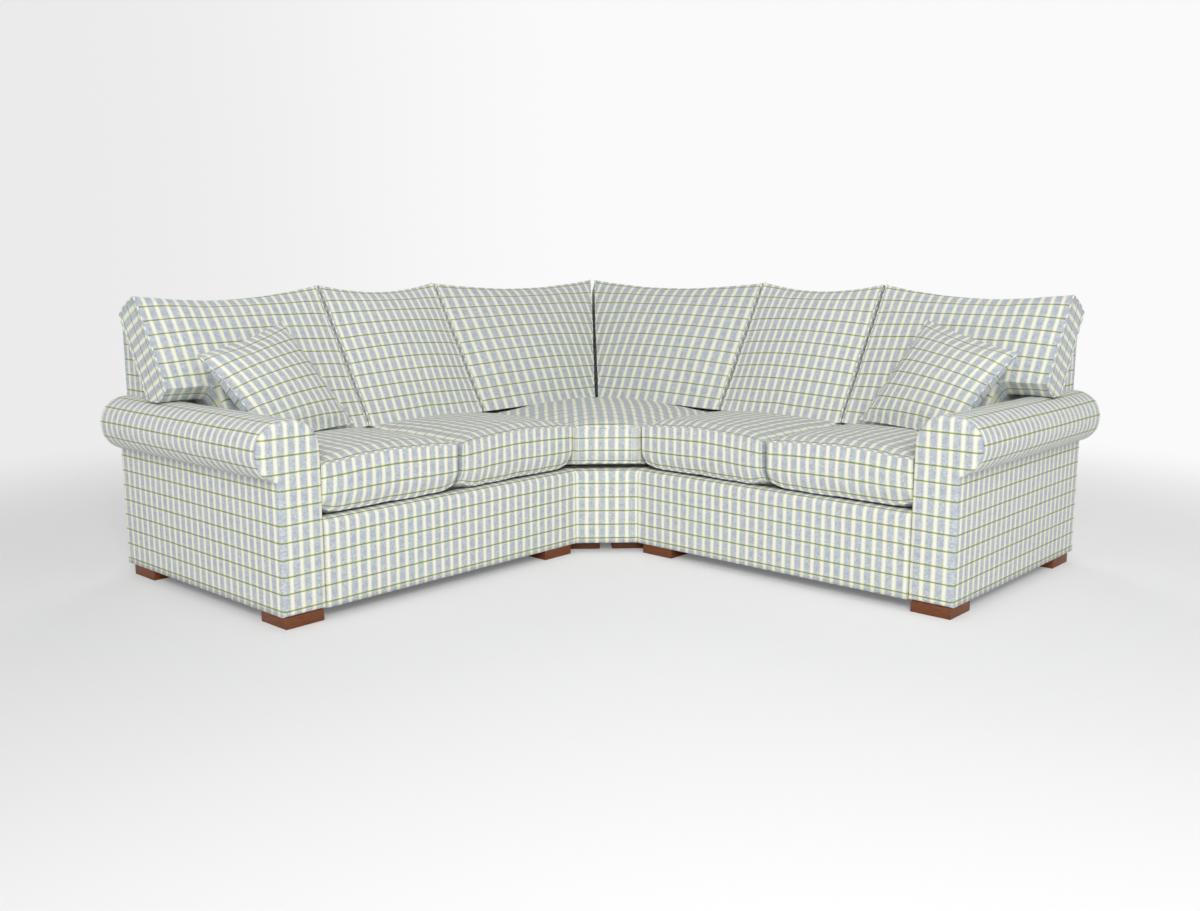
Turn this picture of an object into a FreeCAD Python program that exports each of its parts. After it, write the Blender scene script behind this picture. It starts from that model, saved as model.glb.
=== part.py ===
import FreeCAD, Part
import math
import os
import re
import Sketcher
from FreeCAD import Placement, Rotation, Vector

# Corner sofa of three units: left wing, corner and right wing. Millimetres, +Z up.
# Depth runs forward from the outside back of the left wing (+X). Along runs from the
# outer back corner towards the free end of the left wing (-Y). The origin lies on the
# floor in the middle of the square that the sofa fills, and the right wing is the
# left one mirrored in the upright plane through the origin and the outer back corner.

# Driving dimensions
SIZES = {
    "wing_length": 2400,
    "wing_depth": 980,
    "corner_step": 161,
    "arm_width": 150,
    "roll_radius": 92,
    "roll_inset": 25,
    "roll_lean": 57,
    "arm_height": 624,
    "foot_height": 36,
    "foot_size": 135,
    "foot_inset": 3,
    "foot_back_inset": 40,
    "foot_side_inset": 27,
    "corner_foot_setback": 50,
    "corner_foot_gap": 46,
    "bolt_radius": 4,
    "bolt_clearance": 0.3,
    "bolt_depth": 26,
    "dust_thickness": 2,
    "arm_clearance": 0.3,
    "rail_thickness": 25,
    "block_size": 110,
    "frame_height": 262,
    "webbing_width": 60,
    "webbing_thickness": 2,
    "deck_thickness": 10,
    "cover_thickness": 12,
    "lip_depth": 70,
    "front_round": 22,
    "facing_thickness": 10,
    "back_height": 862,
    "back_end": 36,
    "back_cover_pad": 12,
    "back_skin": 6,
    "back_board": 18,
    "back_foot_depth": 421,
    "back_lean_angle": 30,
    "seat_thickness": 164,
    "seat_crown": 28,
    "seat_front_setback": 4,
    "seat_front_draw": 7,
    "cushion_gap": 2,
    "cushion_clearance": 0.6,
    "cushion_edge_roll": 12,
    "cushion_edge_inset": 8,
    "cushion_seam_inset": 4,
    "back_cushion_thickness": 145,
    "back_cushion_height": 500,
    "back_cushion_crown": 34,
    "back_cushion_overlap": 20,
    "back_cushion_rise": 9,
    "ear_drop": 27,
    "saddle": 22,
    "scatter_size": 444,
    "scatter_thickness": 124,
    "scatter_draw": 14,
    "scatter_lean_angle": 31.5,
    "scatter_yaw_angle": 11.2,
    "scatter_roll_angle": 14,
    "scatter_setback": 87,
    "scatter_arm_reach": 449,
    "scatter_rise": 399.8,
    "scatter_tuck": 30,
    "scatter_lift": 86,
    "joint_bolt_length": 62,
    "joint_bolt_head": 9,
    "joint_bolt_head_height": 6,
    "joint_bolt_height": 180,
}

# Dimensions that follow from the driving ones
FOLLOWING = {
    "corner_side": "=wing_depth + corner_step",
    "seat_split": "=(corner_side + wing_length - arm_width) / 2",
    "deck_top": "=foot_height + dust_thickness + frame_height + 2 * webbing_thickness + deck_thickness",
    "seat_top": "=deck_top + cushion_clearance + seat_thickness",
    "scatter_depth": "=back_foot_depth - scatter_setback",
    "scatter_along": "=wing_length - scatter_arm_reach",
    "scatter_top": "=seat_top + scatter_rise",
}
ALIASES = {**SIZES, **FOLLOWING}

doc = FreeCAD.newDocument("corner_sofa")
sheet = doc.addObject("Spreadsheet::Sheet", "Sizes")
for row, (alias, value) in enumerate(ALIASES.items(), start=1):
    sheet.set("A%d" % row, alias.replace("_", " "))
    sheet.set("B%d" % row, str(value))
    sheet.setAlias("B%d" % row, alias)
doc.recompute()

# Places that follow from the driving dimensions, as spreadsheet expressions
HALF = "(wing_length + roll_radius - roll_inset) / 2"
ARM_INNER = "(wing_length - arm_width)"
ARM_CENTRE_HEIGHT = "(arm_height - roll_radius)"
ROLL_OUTER_CENTRE = "(wing_length - roll_inset)"
ROLL_INNER_CENTRE = "(wing_length - roll_lean)"
FRAME_BASE = "(foot_height + dust_thickness)"
FRAME_TOP = "(foot_height + dust_thickness + frame_height)"
DECK_BASE = "(foot_height + dust_thickness + frame_height + 2 * webbing_thickness)"
FRONT_INNER = "(wing_depth - cover_thickness)"
BACK_ALONG_END = "(wing_length - back_end)"
SLOPE = "tan(back_lean_angle * 1 deg)"
DIAGONAL_FRONT = "((corner_side + wing_depth) / sqrt(2))"
DIAGONAL_SHIFT = "((corner_side - wing_depth) / 2)"


def solve(expression):
    return float(sheet.evalExpression(expression))


def link(expression):
    def cell(word):
        return "Sizes." + word.group(0) if word.group(0) in ALIASES else word.group(0)
    return re.sub(r"[a-z]+(?:_[a-z]+)*", cell, expression)


def bind(target, path, expression):
    target.setExpression(path, link(expression))


def place(target, depth, along, height):
    bind(target, "Placement.Base.x", "%s - %s" % (depth, HALF))
    bind(target, "Placement.Base.y", "%s - %s" % (HALF, along))
    bind(target, "Placement.Base.z", height)
    target.touch()


# Builders for boxes, rods, plates and their combinations

def box(name, start, spans):
    # start and spans are (depth, along, height); the box grows away from the back corner
    solid = doc.addObject("Part::Box", name)
    for side, span in zip(("Length", "Width", "Height"), spans):
        bind(solid, side, span)
    place(solid, start[0], "(%s + %s)" % (start[1], spans[1]), start[2])
    return solid


def diagonal_box(name, start, spans):
    # start is (forward along the diagonal, sideways towards the right wing, height)
    solid = doc.addObject("Part::Box", name)
    solid.Placement = Placement(Vector(), Rotation(Vector(0, 0, 1), -45))
    for side, span in zip(("Length", "Width", "Height"), spans):
        bind(solid, side, span)
    place(
        solid,
        "((%s + %s) / sqrt(2))" % (start[0], start[1]),
        "((%s - %s) / sqrt(2))" % (start[0], start[1]),
        start[2],
    )
    return solid


TURNS = {
    "depth": Rotation(Vector(0, 1, 0), 90),
    "along": Rotation(Vector(1, 0, 0), 90),
    "up": Rotation(),
}


def rod(name, radius, length, start, direction):
    solid = doc.addObject("Part::Cylinder", name)
    solid.Placement = Placement(Vector(), TURNS[direction])
    bind(solid, "Radius", radius)
    bind(solid, "Height", length)
    place(solid, *start)
    return solid


def hexagon_rod(name, radius, length, start, direction):
    # Bolts and their holes are six-sided; the radius reaches to the corners
    solid = doc.addObject("Part::Prism", name)
    solid.Polygon = 6
    solid.Placement = Placement(Vector(), TURNS[direction])
    bind(solid, "Circumradius", radius)
    bind(solid, "Height", length)
    place(solid, *start)
    return solid


def fuse(name, pieces):
    solid = doc.addObject("Part::MultiFuse", name)
    solid.Shapes = pieces
    solid.Refine = True
    return solid


def cut(name, base, tool):
    solid = doc.addObject("Part::Cut", name)
    solid.Base = base
    solid.Tool = tool
    return solid


def group(name, pieces):
    solid = doc.addObject("Part::Compound", name)
    solid.Links = pieces
    return solid


def mirror(name, source):
    solid = doc.addObject("Part::Mirroring", name)
    solid.Source = source
    solid.Base = Vector(0, 0, 0)
    solid.Normal = Vector(1, 1, 0)
    return solid


def plate(name, plane, corners, thickness):
    # An outline of straight sides, sketched on the body's own plane and padded
    body = doc.addObject("PartDesign::Body", name)
    sketch = body.newObject("Sketcher::SketchObject", name + "_outline")
    origin_plane = [f for f in body.Origin.OriginFeatures if f.Role == plane][0]
    sketch.AttachmentSupport = [(origin_plane, "")]
    sketch.MapMode = "FlatFace"
    guide = [Vector(solve(across), solve(upward), 0) for across, upward in corners]
    count = len(guide)
    for index in range(count):
        sketch.addGeometry(Part.LineSegment(guide[index], guide[(index + 1) % count]), False)
    for index in range(count):
        following = (index + 1) % count
        sketch.addConstraint(Sketcher.Constraint("Coincident", index, 2, following, 1))
    for index, corner in enumerate(corners):
        for axis, value in zip("XY", corner):
            label = "corner%d%s" % (index, axis.lower())
            start = guide[index].x if axis == "X" else guide[index].y
            number = sketch.addConstraint(Sketcher.Constraint("Distance" + axis, index, 1, start))
            sketch.renameConstraint(number, label)
            bind(sketch, "Constraints." + label, value)
    pad = body.newObject("PartDesign::Pad", name + "_pad")
    pad.Profile = sketch
    bind(pad, "Length", thickness)
    sketch.Visibility = False
    body.Tip = pad
    doc.recompute()
    return body


# The rolled arm: a wall with a round roll on top, whose outline grows or shrinks evenly

def arm_form(name, grow, start_depth, reach, base):
    wall_start = "(%s - %s)" % (ARM_INNER, grow)
    roll = "(roll_radius + %s)" % grow
    wall = box(
        name + "_wall",
        (start_depth, wall_start, base),
        (reach, "(arm_width + 2 * %s)" % grow, "(%s - %s)" % (ARM_CENTRE_HEIGHT, base)),
    )
    inner = rod(name + "_inner_roll", roll, reach,
                (start_depth, ROLL_INNER_CENTRE, ARM_CENTRE_HEIGHT), "depth")
    outer = rod(name + "_outer_roll", roll, reach,
                (start_depth, ROLL_OUTER_CENTRE, ARM_CENTRE_HEIGHT), "depth")
    top = box(
        name + "_top",
        (start_depth, ROLL_INNER_CENTRE, "(%s - %s)" % (ARM_CENTRE_HEIGHT, roll)),
        (reach, "(roll_lean - roll_inset)", "(2 * %s)" % roll),
    )
    return fuse(name, [wall, inner, outer, top])


def back_wedge(name, inset, start, reach, base, base_height, rear):
    # Side outline of the back: upright outside, leaning inside face, flat top
    slope_inset = "(%s / cos(back_lean_angle * 1 deg))" % inset
    top = "(back_height - %s)" % inset
    outline = [
        (rear, base),
        ("(%s - %s)" % (base_height, slope_inset), base),
        ("(%s - %s - (%s - %s) * %s)" % (base_height, slope_inset, top, base, SLOPE), top),
        (rear, top),
    ]
    body = plate(name, "XZ_Plane", outline, reach)
    place(body, "0", start, "0")
    return body


# Feet, bolts and the holes that the bolts fill

FRONT_FOOT_DEPTH = "(wing_depth - foot_size)"
OUTER_FOOT_ALONG = "(wing_length - foot_inset - foot_size)"
INNER_FOOT_ALONG = "(corner_side + foot_side_inset)"
WING_FEET = {
    "front_outer": (FRONT_FOOT_DEPTH, OUTER_FOOT_ALONG),
    "front_inner": ("(%s - foot_inset)" % FRONT_FOOT_DEPTH, INNER_FOOT_ALONG),
    "back_outer": ("foot_back_inset", OUTER_FOOT_ALONG),
    "back_inner": ("foot_back_inset", INNER_FOOT_ALONG),
}
BOLT_BASE = "(foot_height - bolt_depth)"
BOLT_LENGTH = "(bolt_depth + dust_thickness + rail_thickness)"
HOLE_RADIUS = "(bolt_radius + bolt_clearance)"


def upright_bolt(name, radius, middle_depth, middle_along):
    return hexagon_rod(name, radius, BOLT_LENGTH, (middle_depth, middle_along, BOLT_BASE), "up")


wing_bolts = []
wing_holes = []
for foot, (foot_depth, foot_along) in WING_FEET.items():
    middle = ("(%s + foot_size / 2)" % foot_depth, "(%s + foot_size / 2)" % foot_along)
    wing_bolts.append(upright_bolt("bolt_" + foot, "bolt_radius", *middle))
    wing_holes.append(upright_bolt("hole_" + foot, HOLE_RADIUS, *middle))
wing_bolts = group("wing_bolts", wing_bolts)
wing_holes = group("wing_holes", wing_holes)

nodes = {}
for foot, (foot_depth, foot_along) in WING_FEET.items():
    block = box("block_" + foot, (foot_depth, foot_along, "0"), ("foot_size", "foot_size", "foot_height"))
    nodes["left_foot_" + foot] = cut("left_foot_" + foot, block, wing_holes)

# Left wing: timber seat frame, with a bolt block over each inner foot

SEAT_LENGTH = "(%s - corner_side)" % ARM_INNER
REAR_START = "back_skin"
RAIL_END = "(%s - rail_thickness)" % FRONT_INNER
INSIDE_REACH = "(%s - %s)" % (FRONT_INNER, REAR_START)
SEAT_REAR = "back_foot_depth"
rails = [
    box("wing_front_rail", (RAIL_END, "corner_side", FRAME_BASE),
        ("rail_thickness", SEAT_LENGTH, "frame_height")),
    box("wing_rear_rail", (REAR_START, "corner_side", FRAME_BASE),
        ("rail_thickness", SEAT_LENGTH, "frame_height")),
    box("wing_webbing_rail",
        ("(%s - rail_thickness)" % SEAT_REAR, "corner_side", "(%s - block_size)" % FRAME_TOP),
        ("rail_thickness", SEAT_LENGTH, "block_size")),
]
for label, rail_along in (
    ("inner", "corner_side"),
    ("middle", "(seat_split - rail_thickness / 2)"),
    ("outer", "(%s - rail_thickness)" % ARM_INNER),
):
    rails.append(box("wing_%s_cross_rail" % label, (REAR_START, rail_along, FRAME_BASE),
                     (INSIDE_REACH, "rail_thickness", "(frame_height - webbing_thickness * 2)"
                      if label == "middle" else "frame_height")))
for label, block_depth in (("front", "(%s - foot_size)" % RAIL_END), ("back", "foot_back_inset")):
    rails.append(box("wing_%s_block" % label, (block_depth, "corner_side", FRAME_BASE),
                     ("foot_size", "(foot_side_inset + foot_size)", "rail_thickness")))
seat_timber = fuse("wing_seat_timber", rails)

# The three units are bolted together through their end rails
JOINT_DEPTHS = {"rear": "(back_foot_depth / 2)", "front": "(wing_depth - back_foot_depth / 2)"}


def joint_rods(name, radius, overrun, heads):
    rods = []
    for label, joint_depth in JOINT_DEPTHS.items():
        start = "(corner_side - joint_bolt_length / 2 - %s)" % overrun
        height = "(%s + joint_bolt_height)" % FRAME_BASE
        rods.append(hexagon_rod("%s_%s" % (name, label), radius, "(joint_bolt_length + 2 * %s)" % overrun,
                                (joint_depth, start, height), "along"))
        if heads:
            for side, head_along in (
                ("inner", "(corner_side - rail_thickness - joint_bolt_head_height)"),
                ("outer", "(corner_side + rail_thickness)"),
            ):
                rods.append(hexagon_rod("%s_%s_%s_head" % (name, label, side), "joint_bolt_head",
                                        "joint_bolt_head_height", (joint_depth, head_along, height), "along"))
    return fuse(name, rods)


joint_bolts = joint_rods("joint_bolts", "bolt_radius", "0", True)
joint_holes = joint_rods("joint_holes", HOLE_RADIUS, "rail_thickness", False)
wing_openings = group("wing_openings", [wing_holes, joint_holes])
nodes["left_seat_frame"] = cut("left_seat_frame", seat_timber, wing_openings)

# Webbing straps run front to back over the rails, with the side to side straps on top
STRAP_START = "(%s - rail_thickness / 3)" % SEAT_REAR
STRAP_REACH = "(%s - %s)" % (FRONT_INNER, STRAP_START)


def straps(name, count, start, spans, step_axis, step_range):
    pieces = []
    for index in range(count):
        place_at = list(start)
        share = "(%d / %d)" % (2 * index + 1, 2 * count)
        place_at[step_axis] = "(%s + %s * %s - webbing_width / 2)" % (start[step_axis], step_range, share)
        pieces.append(box("%s_%d" % (name, index), place_at, spans))
    return pieces


wing_straps = straps("wing_strap", 7, (STRAP_START, "corner_side", FRAME_TOP),
                     (STRAP_REACH, "webbing_width", "webbing_thickness"), 1, SEAT_LENGTH)
wing_straps += straps("wing_cross_strap", 3,
                      (SEAT_REAR, "corner_side", "(%s + webbing_thickness)" % FRAME_TOP),
                      ("webbing_width", SEAT_LENGTH, "webbing_thickness"), 0,
                      "(wing_depth - lip_depth - %s)" % SEAT_REAR)
nodes["left_seat_webbing"] = fuse("left_seat_webbing", wing_straps)

DECK_REACH = "(wing_depth - lip_depth - %s)" % SEAT_REAR
nodes["left_seat_deck"] = box("left_seat_deck", (SEAT_REAR, "corner_side", DECK_BASE),
                              (DECK_REACH, SEAT_LENGTH, "deck_thickness"))


def front_cover(name, face, reach):
    # Padded cloth over the front rail, turned back over its top as a lip
    inner = "(%s - cover_thickness)" % face
    lip = "(%s - lip_depth)" % face
    outline = [
        (inner, "foot_height"),
        (face, "foot_height"),
        (face, "deck_top"),
        (lip, "deck_top"),
        (lip, DECK_BASE),
        (inner, DECK_BASE),
    ]
    body = plate(name, "XZ_Plane", outline, reach)
    pad = body.Tip
    edge = [
        "Edge%d" % (index + 1)
        for index, line in enumerate(pad.Shape.Edges)
        if all(abs(v.Z - solve("deck_top")) < 0.01 and abs(v.X - solve(face)) < 0.01 for v in line.Vertexes)
    ]
    rounding = body.newObject("PartDesign::Fillet", name + "_round")
    rounding.Base = (pad, edge)
    bind(rounding, "Radius", "front_round")
    body.Tip = rounding
    return body


nodes["left_front_rail_cover"] = front_cover("left_front_rail_cover", "wing_depth", SEAT_LENGTH)
place(nodes["left_front_rail_cover"], "0", "corner_side", "0")

# Left wing: arm
ARM_CLEAR = "arm_clearance"
ARM_PAD = "(0 - cover_thickness)"
ARM_FRONT = "(wing_depth - facing_thickness)"
arm_outside = arm_form("arm_outside", "0", "0", ARM_FRONT, "foot_height")
arm_inside = arm_form("arm_inside", ARM_PAD, "cover_thickness", ARM_FRONT, "0")
nodes["left_arm_cover"] = cut("left_arm_cover", arm_outside, arm_inside)
nodes["left_arm_front_facing"] = arm_form("left_arm_front_facing", "0", ARM_FRONT, "facing_thickness",
                                          "foot_height")
ARM_FRAME_PAD = "(0 - cover_thickness - %s)" % ARM_CLEAR
ARM_FRAME_START = "(%s + cover_thickness + %s)" % (ARM_INNER, ARM_CLEAR)
ARM_FRAME_WIDTH = "(arm_width - 2 * cover_thickness - 2 * %s)" % ARM_CLEAR
ARM_FRAME_REACH = "(%s - cover_thickness)" % ARM_FRONT
arm_timber = fuse("arm_timber", [
    arm_form("arm_front_board", ARM_FRAME_PAD, "(%s - rail_thickness)" % ARM_FRONT, "rail_thickness",
             FRAME_BASE),
    arm_form("arm_rear_board", ARM_FRAME_PAD, "cover_thickness", "rail_thickness", FRAME_BASE),
    box("arm_base_board", ("cover_thickness", ARM_FRAME_START, FRAME_BASE),
        (ARM_FRAME_REACH, ARM_FRAME_WIDTH, "rail_thickness")),
    box("arm_top_rail", ("cover_thickness", ROLL_INNER_CENTRE, "(%s + rail_thickness)" % ARM_CENTRE_HEIGHT),
        (ARM_FRAME_REACH, "(roll_lean - roll_inset)", "rail_thickness")),
    box("arm_inner_rail", ("cover_thickness", ARM_FRAME_START, "(%s - block_size)" % ARM_CENTRE_HEIGHT),
        (ARM_FRAME_REACH, "rail_thickness", "block_size")),
])
nodes["left_arm_frame"] = cut("left_arm_frame", arm_timber, wing_holes)

# Left wing: back. Above the arm it reaches out over the roll.
WEDGE_REACH = "(%s - corner_side)" % BACK_ALONG_END
arm_hollow = arm_form("arm_hollow", ARM_CLEAR, "0", "wing_depth", "foot_height")
INSIDE_WEDGE_FOOT = "(%s + (%s - %s) * %s)" % (SEAT_REAR, DECK_BASE, FRAME_BASE, SLOPE)
wedge_outside = back_wedge("wing_wedge_outside", "0", "corner_side", WEDGE_REACH, DECK_BASE, SEAT_REAR,
                           REAR_START)
wedge_inside = back_wedge("wing_wedge_inside", "back_cover_pad", "corner_side",
                          "(%s - back_cover_pad)" % WEDGE_REACH, FRAME_BASE, INSIDE_WEDGE_FOOT,
                          "back_skin / 2")
padded_wedge = cut("wing_padded_wedge", wedge_outside, wedge_inside)
nodes["left_back_cover"] = cut("left_back_cover", padded_wedge, arm_hollow)

outside_panel = box("wing_outside_panel", ("0", "corner_side", "foot_height"),
                    ("back_skin", WEDGE_REACH, "(back_height - foot_height)"))
nodes["left_outside_back_cover"] = cut("left_outside_back_cover", outside_panel, arm_hollow)

BOARD_INSET = "(back_cover_pad + %s)" % ARM_CLEAR
boards = []
for label, board_along in (
    ("inner", "corner_side"),
    ("middle", "(seat_split - back_board / 2)"),
    ("outer", "(%s - rail_thickness)" % ARM_INNER),
    ("end", "(%s - back_cover_pad - back_board - %s)" % (BACK_ALONG_END, ARM_CLEAR)),
):
    boards.append(back_wedge("wing_%s_board" % label, BOARD_INSET, board_along, "back_board", FRAME_TOP,
                             "(%s + 2 * webbing_thickness * %s)" % (SEAT_REAR, SLOPE), REAR_START))
TOP_RAIL_HEIGHT = "(back_height - %s - rail_thickness * 2)" % BOARD_INSET
TOP_RAIL_REACH = "(%s - back_cover_pad - %s)" % (WEDGE_REACH, ARM_CLEAR)
boards.append(box("wing_top_rail", (REAR_START, "corner_side", TOP_RAIL_HEIGHT),
                  ("rail_thickness", TOP_RAIL_REACH, "(rail_thickness * 2)")))
boards.append(box("wing_waist_rail", (REAR_START, "corner_side", "(arm_height + rail_thickness)"),
                  ("rail_thickness", TOP_RAIL_REACH, "(rail_thickness * 2)")))
back_timber = fuse("wing_back_timber", boards)
nodes["left_back_frame"] = cut("left_back_frame", back_timber, arm_hollow)

dust_sheet = box("wing_dust_sheet", ("back_skin", "corner_side", "foot_height"),
                 ("(%s - back_skin)" % FRONT_INNER,
                  "(wing_length - cover_thickness - %s - corner_side)" % ARM_CLEAR, "dust_thickness"))
arm_wall_path = arm_form("arm_wall_path", ARM_CLEAR, "0", "wing_depth", "0")
arm_wall_core = arm_form("arm_wall_core", "(0 - cover_thickness - %s)" % ARM_CLEAR,
                         "(cover_thickness + %s)" % ARM_CLEAR, "wing_depth", "0")
arm_wall_band = cut("arm_wall_band", arm_wall_path, arm_wall_core)
trimmed_dust_sheet = cut("wing_trimmed_dust_sheet", dust_sheet, arm_wall_band)
nodes["left_dust_cover"] = cut("left_dust_cover", trimmed_dust_sheet, wing_holes)

# Corner unit: a square with its front corner cut off, so that a short front faces the room

diagonal_block = box("diagonal_block", ("0", "0", "0"), ("wing_length", "wing_length", "wing_length"))
diagonal_block.Placement = Placement(Vector(), Rotation(Vector(0, 0, 1), -45))
diagonal_block.setExpression("Placement.Base.y", None)
bind(diagonal_block, "Placement.Base.y", HALF)
CORNER_INSIDE = "(corner_side - %s)" % REAR_START
CORNER_FRONT = "(wing_depth - cover_thickness * sqrt(2))"
CHAMFER_WIDTH = "((corner_side - wing_depth) * sqrt(2))"
CORNER_FOOT_FORWARD = "(%s - corner_foot_setback - foot_size)" % DIAGONAL_FRONT
CORNER_FOOT_SIDE = "(corner_foot_gap / 2 + foot_size)"


def corner_bolts(name, radius):
    forward = "(%s + foot_size / 2)" % CORNER_FOOT_FORWARD
    side = "(%s - foot_size / 2)" % CORNER_FOOT_SIDE
    left = upright_bolt(name + "_left", radius, "((%s - %s) / sqrt(2))" % (forward, side),
                        "((%s + %s) / sqrt(2))" % (forward, side))
    back = upright_bolt(name + "_back", radius, "(foot_back_inset + foot_size / 2)",
                        "(foot_back_inset + foot_size / 2)")
    return group(name, [left, mirror(name + "_right", left), back])


corner_bolt_group = corner_bolts("corner_bolt", "bolt_radius")
corner_hole_group = corner_bolts("corner_hole", HOLE_RADIUS)
corner_openings = group("corner_openings", [corner_hole_group, joint_holes,
                                            mirror("right_joint_holes", joint_holes)])

front_block = diagonal_box(
    "corner_front_block",
    (CORNER_FOOT_FORWARD, "(0 - %s)" % CORNER_FOOT_SIDE, "0"),
    ("foot_size", "foot_size", "foot_height"),
)
nodes["corner_foot_front_left"] = cut("corner_foot_front_left", front_block, corner_hole_group)
nodes["corner_foot_front_right"] = mirror("corner_foot_front_right", nodes["corner_foot_front_left"])
back_block = box("corner_back_block", ("foot_back_inset", "foot_back_inset", "0"),
                 ("foot_size", "foot_size", "foot_height"))
nodes["corner_foot_back"] = cut("corner_foot_back", back_block, corner_hole_group)

side_rails = fuse("corner_side_rails", [
    box("corner_rear_rail", (REAR_START, REAR_START, FRAME_BASE),
        ("rail_thickness", CORNER_INSIDE, "frame_height")),
    box("corner_end_rail", (REAR_START, "(corner_side - rail_thickness)", FRAME_BASE),
        ("(%s - %s)" % (CORNER_FRONT, REAR_START), "rail_thickness", "frame_height")),
    box("corner_webbing_rail",
        ("(%s - rail_thickness)" % SEAT_REAR, "(%s - rail_thickness)" % SEAT_REAR,
         "(%s - block_size)" % FRAME_TOP),
        ("rail_thickness", "(corner_side - %s + rail_thickness)" % SEAT_REAR, "block_size")),
])
corner_timber = fuse("corner_seat_timber", [
    side_rails,
    mirror("corner_side_rails_right", side_rails),
    diagonal_box("corner_chamfer_rail",
                 ("(%s - cover_thickness - rail_thickness)" % DIAGONAL_FRONT,
                  "(0 - %s / 2)" % CHAMFER_WIDTH, FRAME_BASE),
                 ("rail_thickness", CHAMFER_WIDTH, "frame_height")),
    diagonal_box("corner_foot_board",
                 (CORNER_FOOT_FORWARD, "(0 - foot_size)", FRAME_BASE),
                 ("(foot_size + corner_foot_setback - cover_thickness - rail_thickness / 2)",
                  "(2 * foot_size)", "rail_thickness")),
    diagonal_box("corner_brace",
                 ("(2 * rail_thickness)", "(0 - rail_thickness / 2)", FRAME_BASE),
                 ("(%s - cover_thickness - 3 * rail_thickness)" % DIAGONAL_FRONT, "rail_thickness",
                  "block_size")),
    box("corner_back_foot_board", (REAR_START, REAR_START, FRAME_BASE),
        ("(foot_back_inset + foot_size)", "(foot_back_inset + foot_size)", "rail_thickness")),
])
nodes["corner_seat_frame"] = cut("corner_seat_frame", corner_timber, corner_openings)

CORNER_SPAN = "(%s - %s)" % (CORNER_FRONT, SEAT_REAR)
LONG_STRAP = "(corner_side - %s)" % STRAP_START
corner_straps = straps("corner_strap", 4, (STRAP_START, SEAT_REAR, FRAME_TOP),
                       (LONG_STRAP, "webbing_width", "webbing_thickness"), 1, CORNER_SPAN)
corner_straps += straps("corner_cross_strap", 4,
                        (SEAT_REAR, STRAP_START, "(%s + webbing_thickness)" % FRAME_TOP),
                        ("webbing_width", LONG_STRAP, "webbing_thickness"), 0, CORNER_SPAN)
nodes["corner_seat_webbing"] = fuse("corner_seat_webbing", corner_straps)


def corner_plate(name, rear, front, base, thickness):
    outline = [
        (rear, rear),
        ("corner_side", rear),
        ("corner_side", front),
        (front, "corner_side"),
        (rear, "corner_side"),
    ]
    body = plate(name, "XY_Plane", outline, thickness)
    body.Placement = Placement(Vector(), Rotation(Vector(0, 0, 1), -90))
    place(body, "0", "0", base)
    return body


nodes["corner_seat_deck"] = corner_plate("corner_seat_deck", SEAT_REAR, "(wing_depth - lip_depth * sqrt(2))",
                                         DECK_BASE, "deck_thickness")
dust_plate = corner_plate("corner_dust_plate", REAR_START, CORNER_FRONT, "foot_height", "dust_thickness")
nodes["corner_dust_cover"] = cut("corner_dust_cover", dust_plate, corner_hole_group)

wide_cover = front_cover("corner_wide_cover", DIAGONAL_FRONT, "(%s + 2 * lip_depth)" % CHAMFER_WIDTH)
wide_cover.Placement = Placement(Vector(), Rotation(Vector(0, 0, 1), -45))
COVER_SHIFT = "(%s + lip_depth / sqrt(2))" % DIAGONAL_SHIFT
place(wide_cover, COVER_SHIFT, "(0 - %s)" % COVER_SHIFT, "0")
left_neighbour = box("left_neighbour", ("0", "corner_side", "0"), ("wing_length", "wing_depth", "wing_depth"))
neighbours = group("neighbours", [left_neighbour, mirror("right_neighbour", left_neighbour)])
nodes["corner_front_cover"] = cut("corner_front_cover", wide_cover, neighbours)

# Corner unit: back, with each wall ending at the diagonal
corner_wedge_outside = back_wedge("corner_wedge_outside", "0", "0", "corner_side", DECK_BASE, SEAT_REAR,
                                  REAR_START)
corner_wedge_inside = back_wedge("corner_wedge_inside", "back_cover_pad", "0", "corner_side", FRAME_BASE,
                                 INSIDE_WEDGE_FOOT, "back_skin / 2")
corner_padding = cut("corner_padding", corner_wedge_outside, corner_wedge_inside)
nodes["corner_back_cover_left"] = cut("corner_back_cover_left", corner_padding, diagonal_block)
corner_outside_panel = box("corner_outside_panel", ("0", "0", "foot_height"),
                           ("back_skin", "corner_side", "(back_height - foot_height)"))
nodes["corner_outside_back_left"] = cut("corner_outside_back_left", corner_outside_panel, diagonal_block)
nodes["corner_back_cover_right"] = mirror("corner_back_cover_right", nodes["corner_back_cover_left"])
nodes["corner_outside_back_right"] = mirror("corner_outside_back_right", nodes["corner_outside_back_left"])

corner_wall_boards = fuse("corner_wall_boards", [
    back_wedge("corner_end_board", BOARD_INSET, "(corner_side - back_board)", "back_board", FRAME_TOP,
               "(%s + 2 * webbing_thickness * %s)" % (SEAT_REAR, SLOPE), REAR_START),
    back_wedge("corner_middle_board", BOARD_INSET, "((corner_side + %s) / 2)" % SEAT_REAR, "back_board",
               FRAME_TOP, "(%s + 2 * webbing_thickness * %s)" % (SEAT_REAR, SLOPE), REAR_START),
    box("corner_top_rail", (REAR_START, REAR_START, TOP_RAIL_HEIGHT),
        ("rail_thickness", CORNER_INSIDE, "(rail_thickness * 2)")),
    box("corner_waist_rail", (REAR_START, REAR_START, "(arm_height + rail_thickness)"),
        ("rail_thickness", CORNER_INSIDE, "(rail_thickness * 2)")),
])
corner_post = box("corner_post", (REAR_START, REAR_START, FRAME_TOP),
                  ("(rail_thickness * 2)", "(rail_thickness * 2)",
                   "(%s - %s)" % (TOP_RAIL_HEIGHT, FRAME_TOP)))
nodes["corner_back_frame"] = fuse("corner_back_frame", [
    corner_wall_boards, mirror("corner_wall_boards_right", corner_wall_boards), corner_post])

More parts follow.
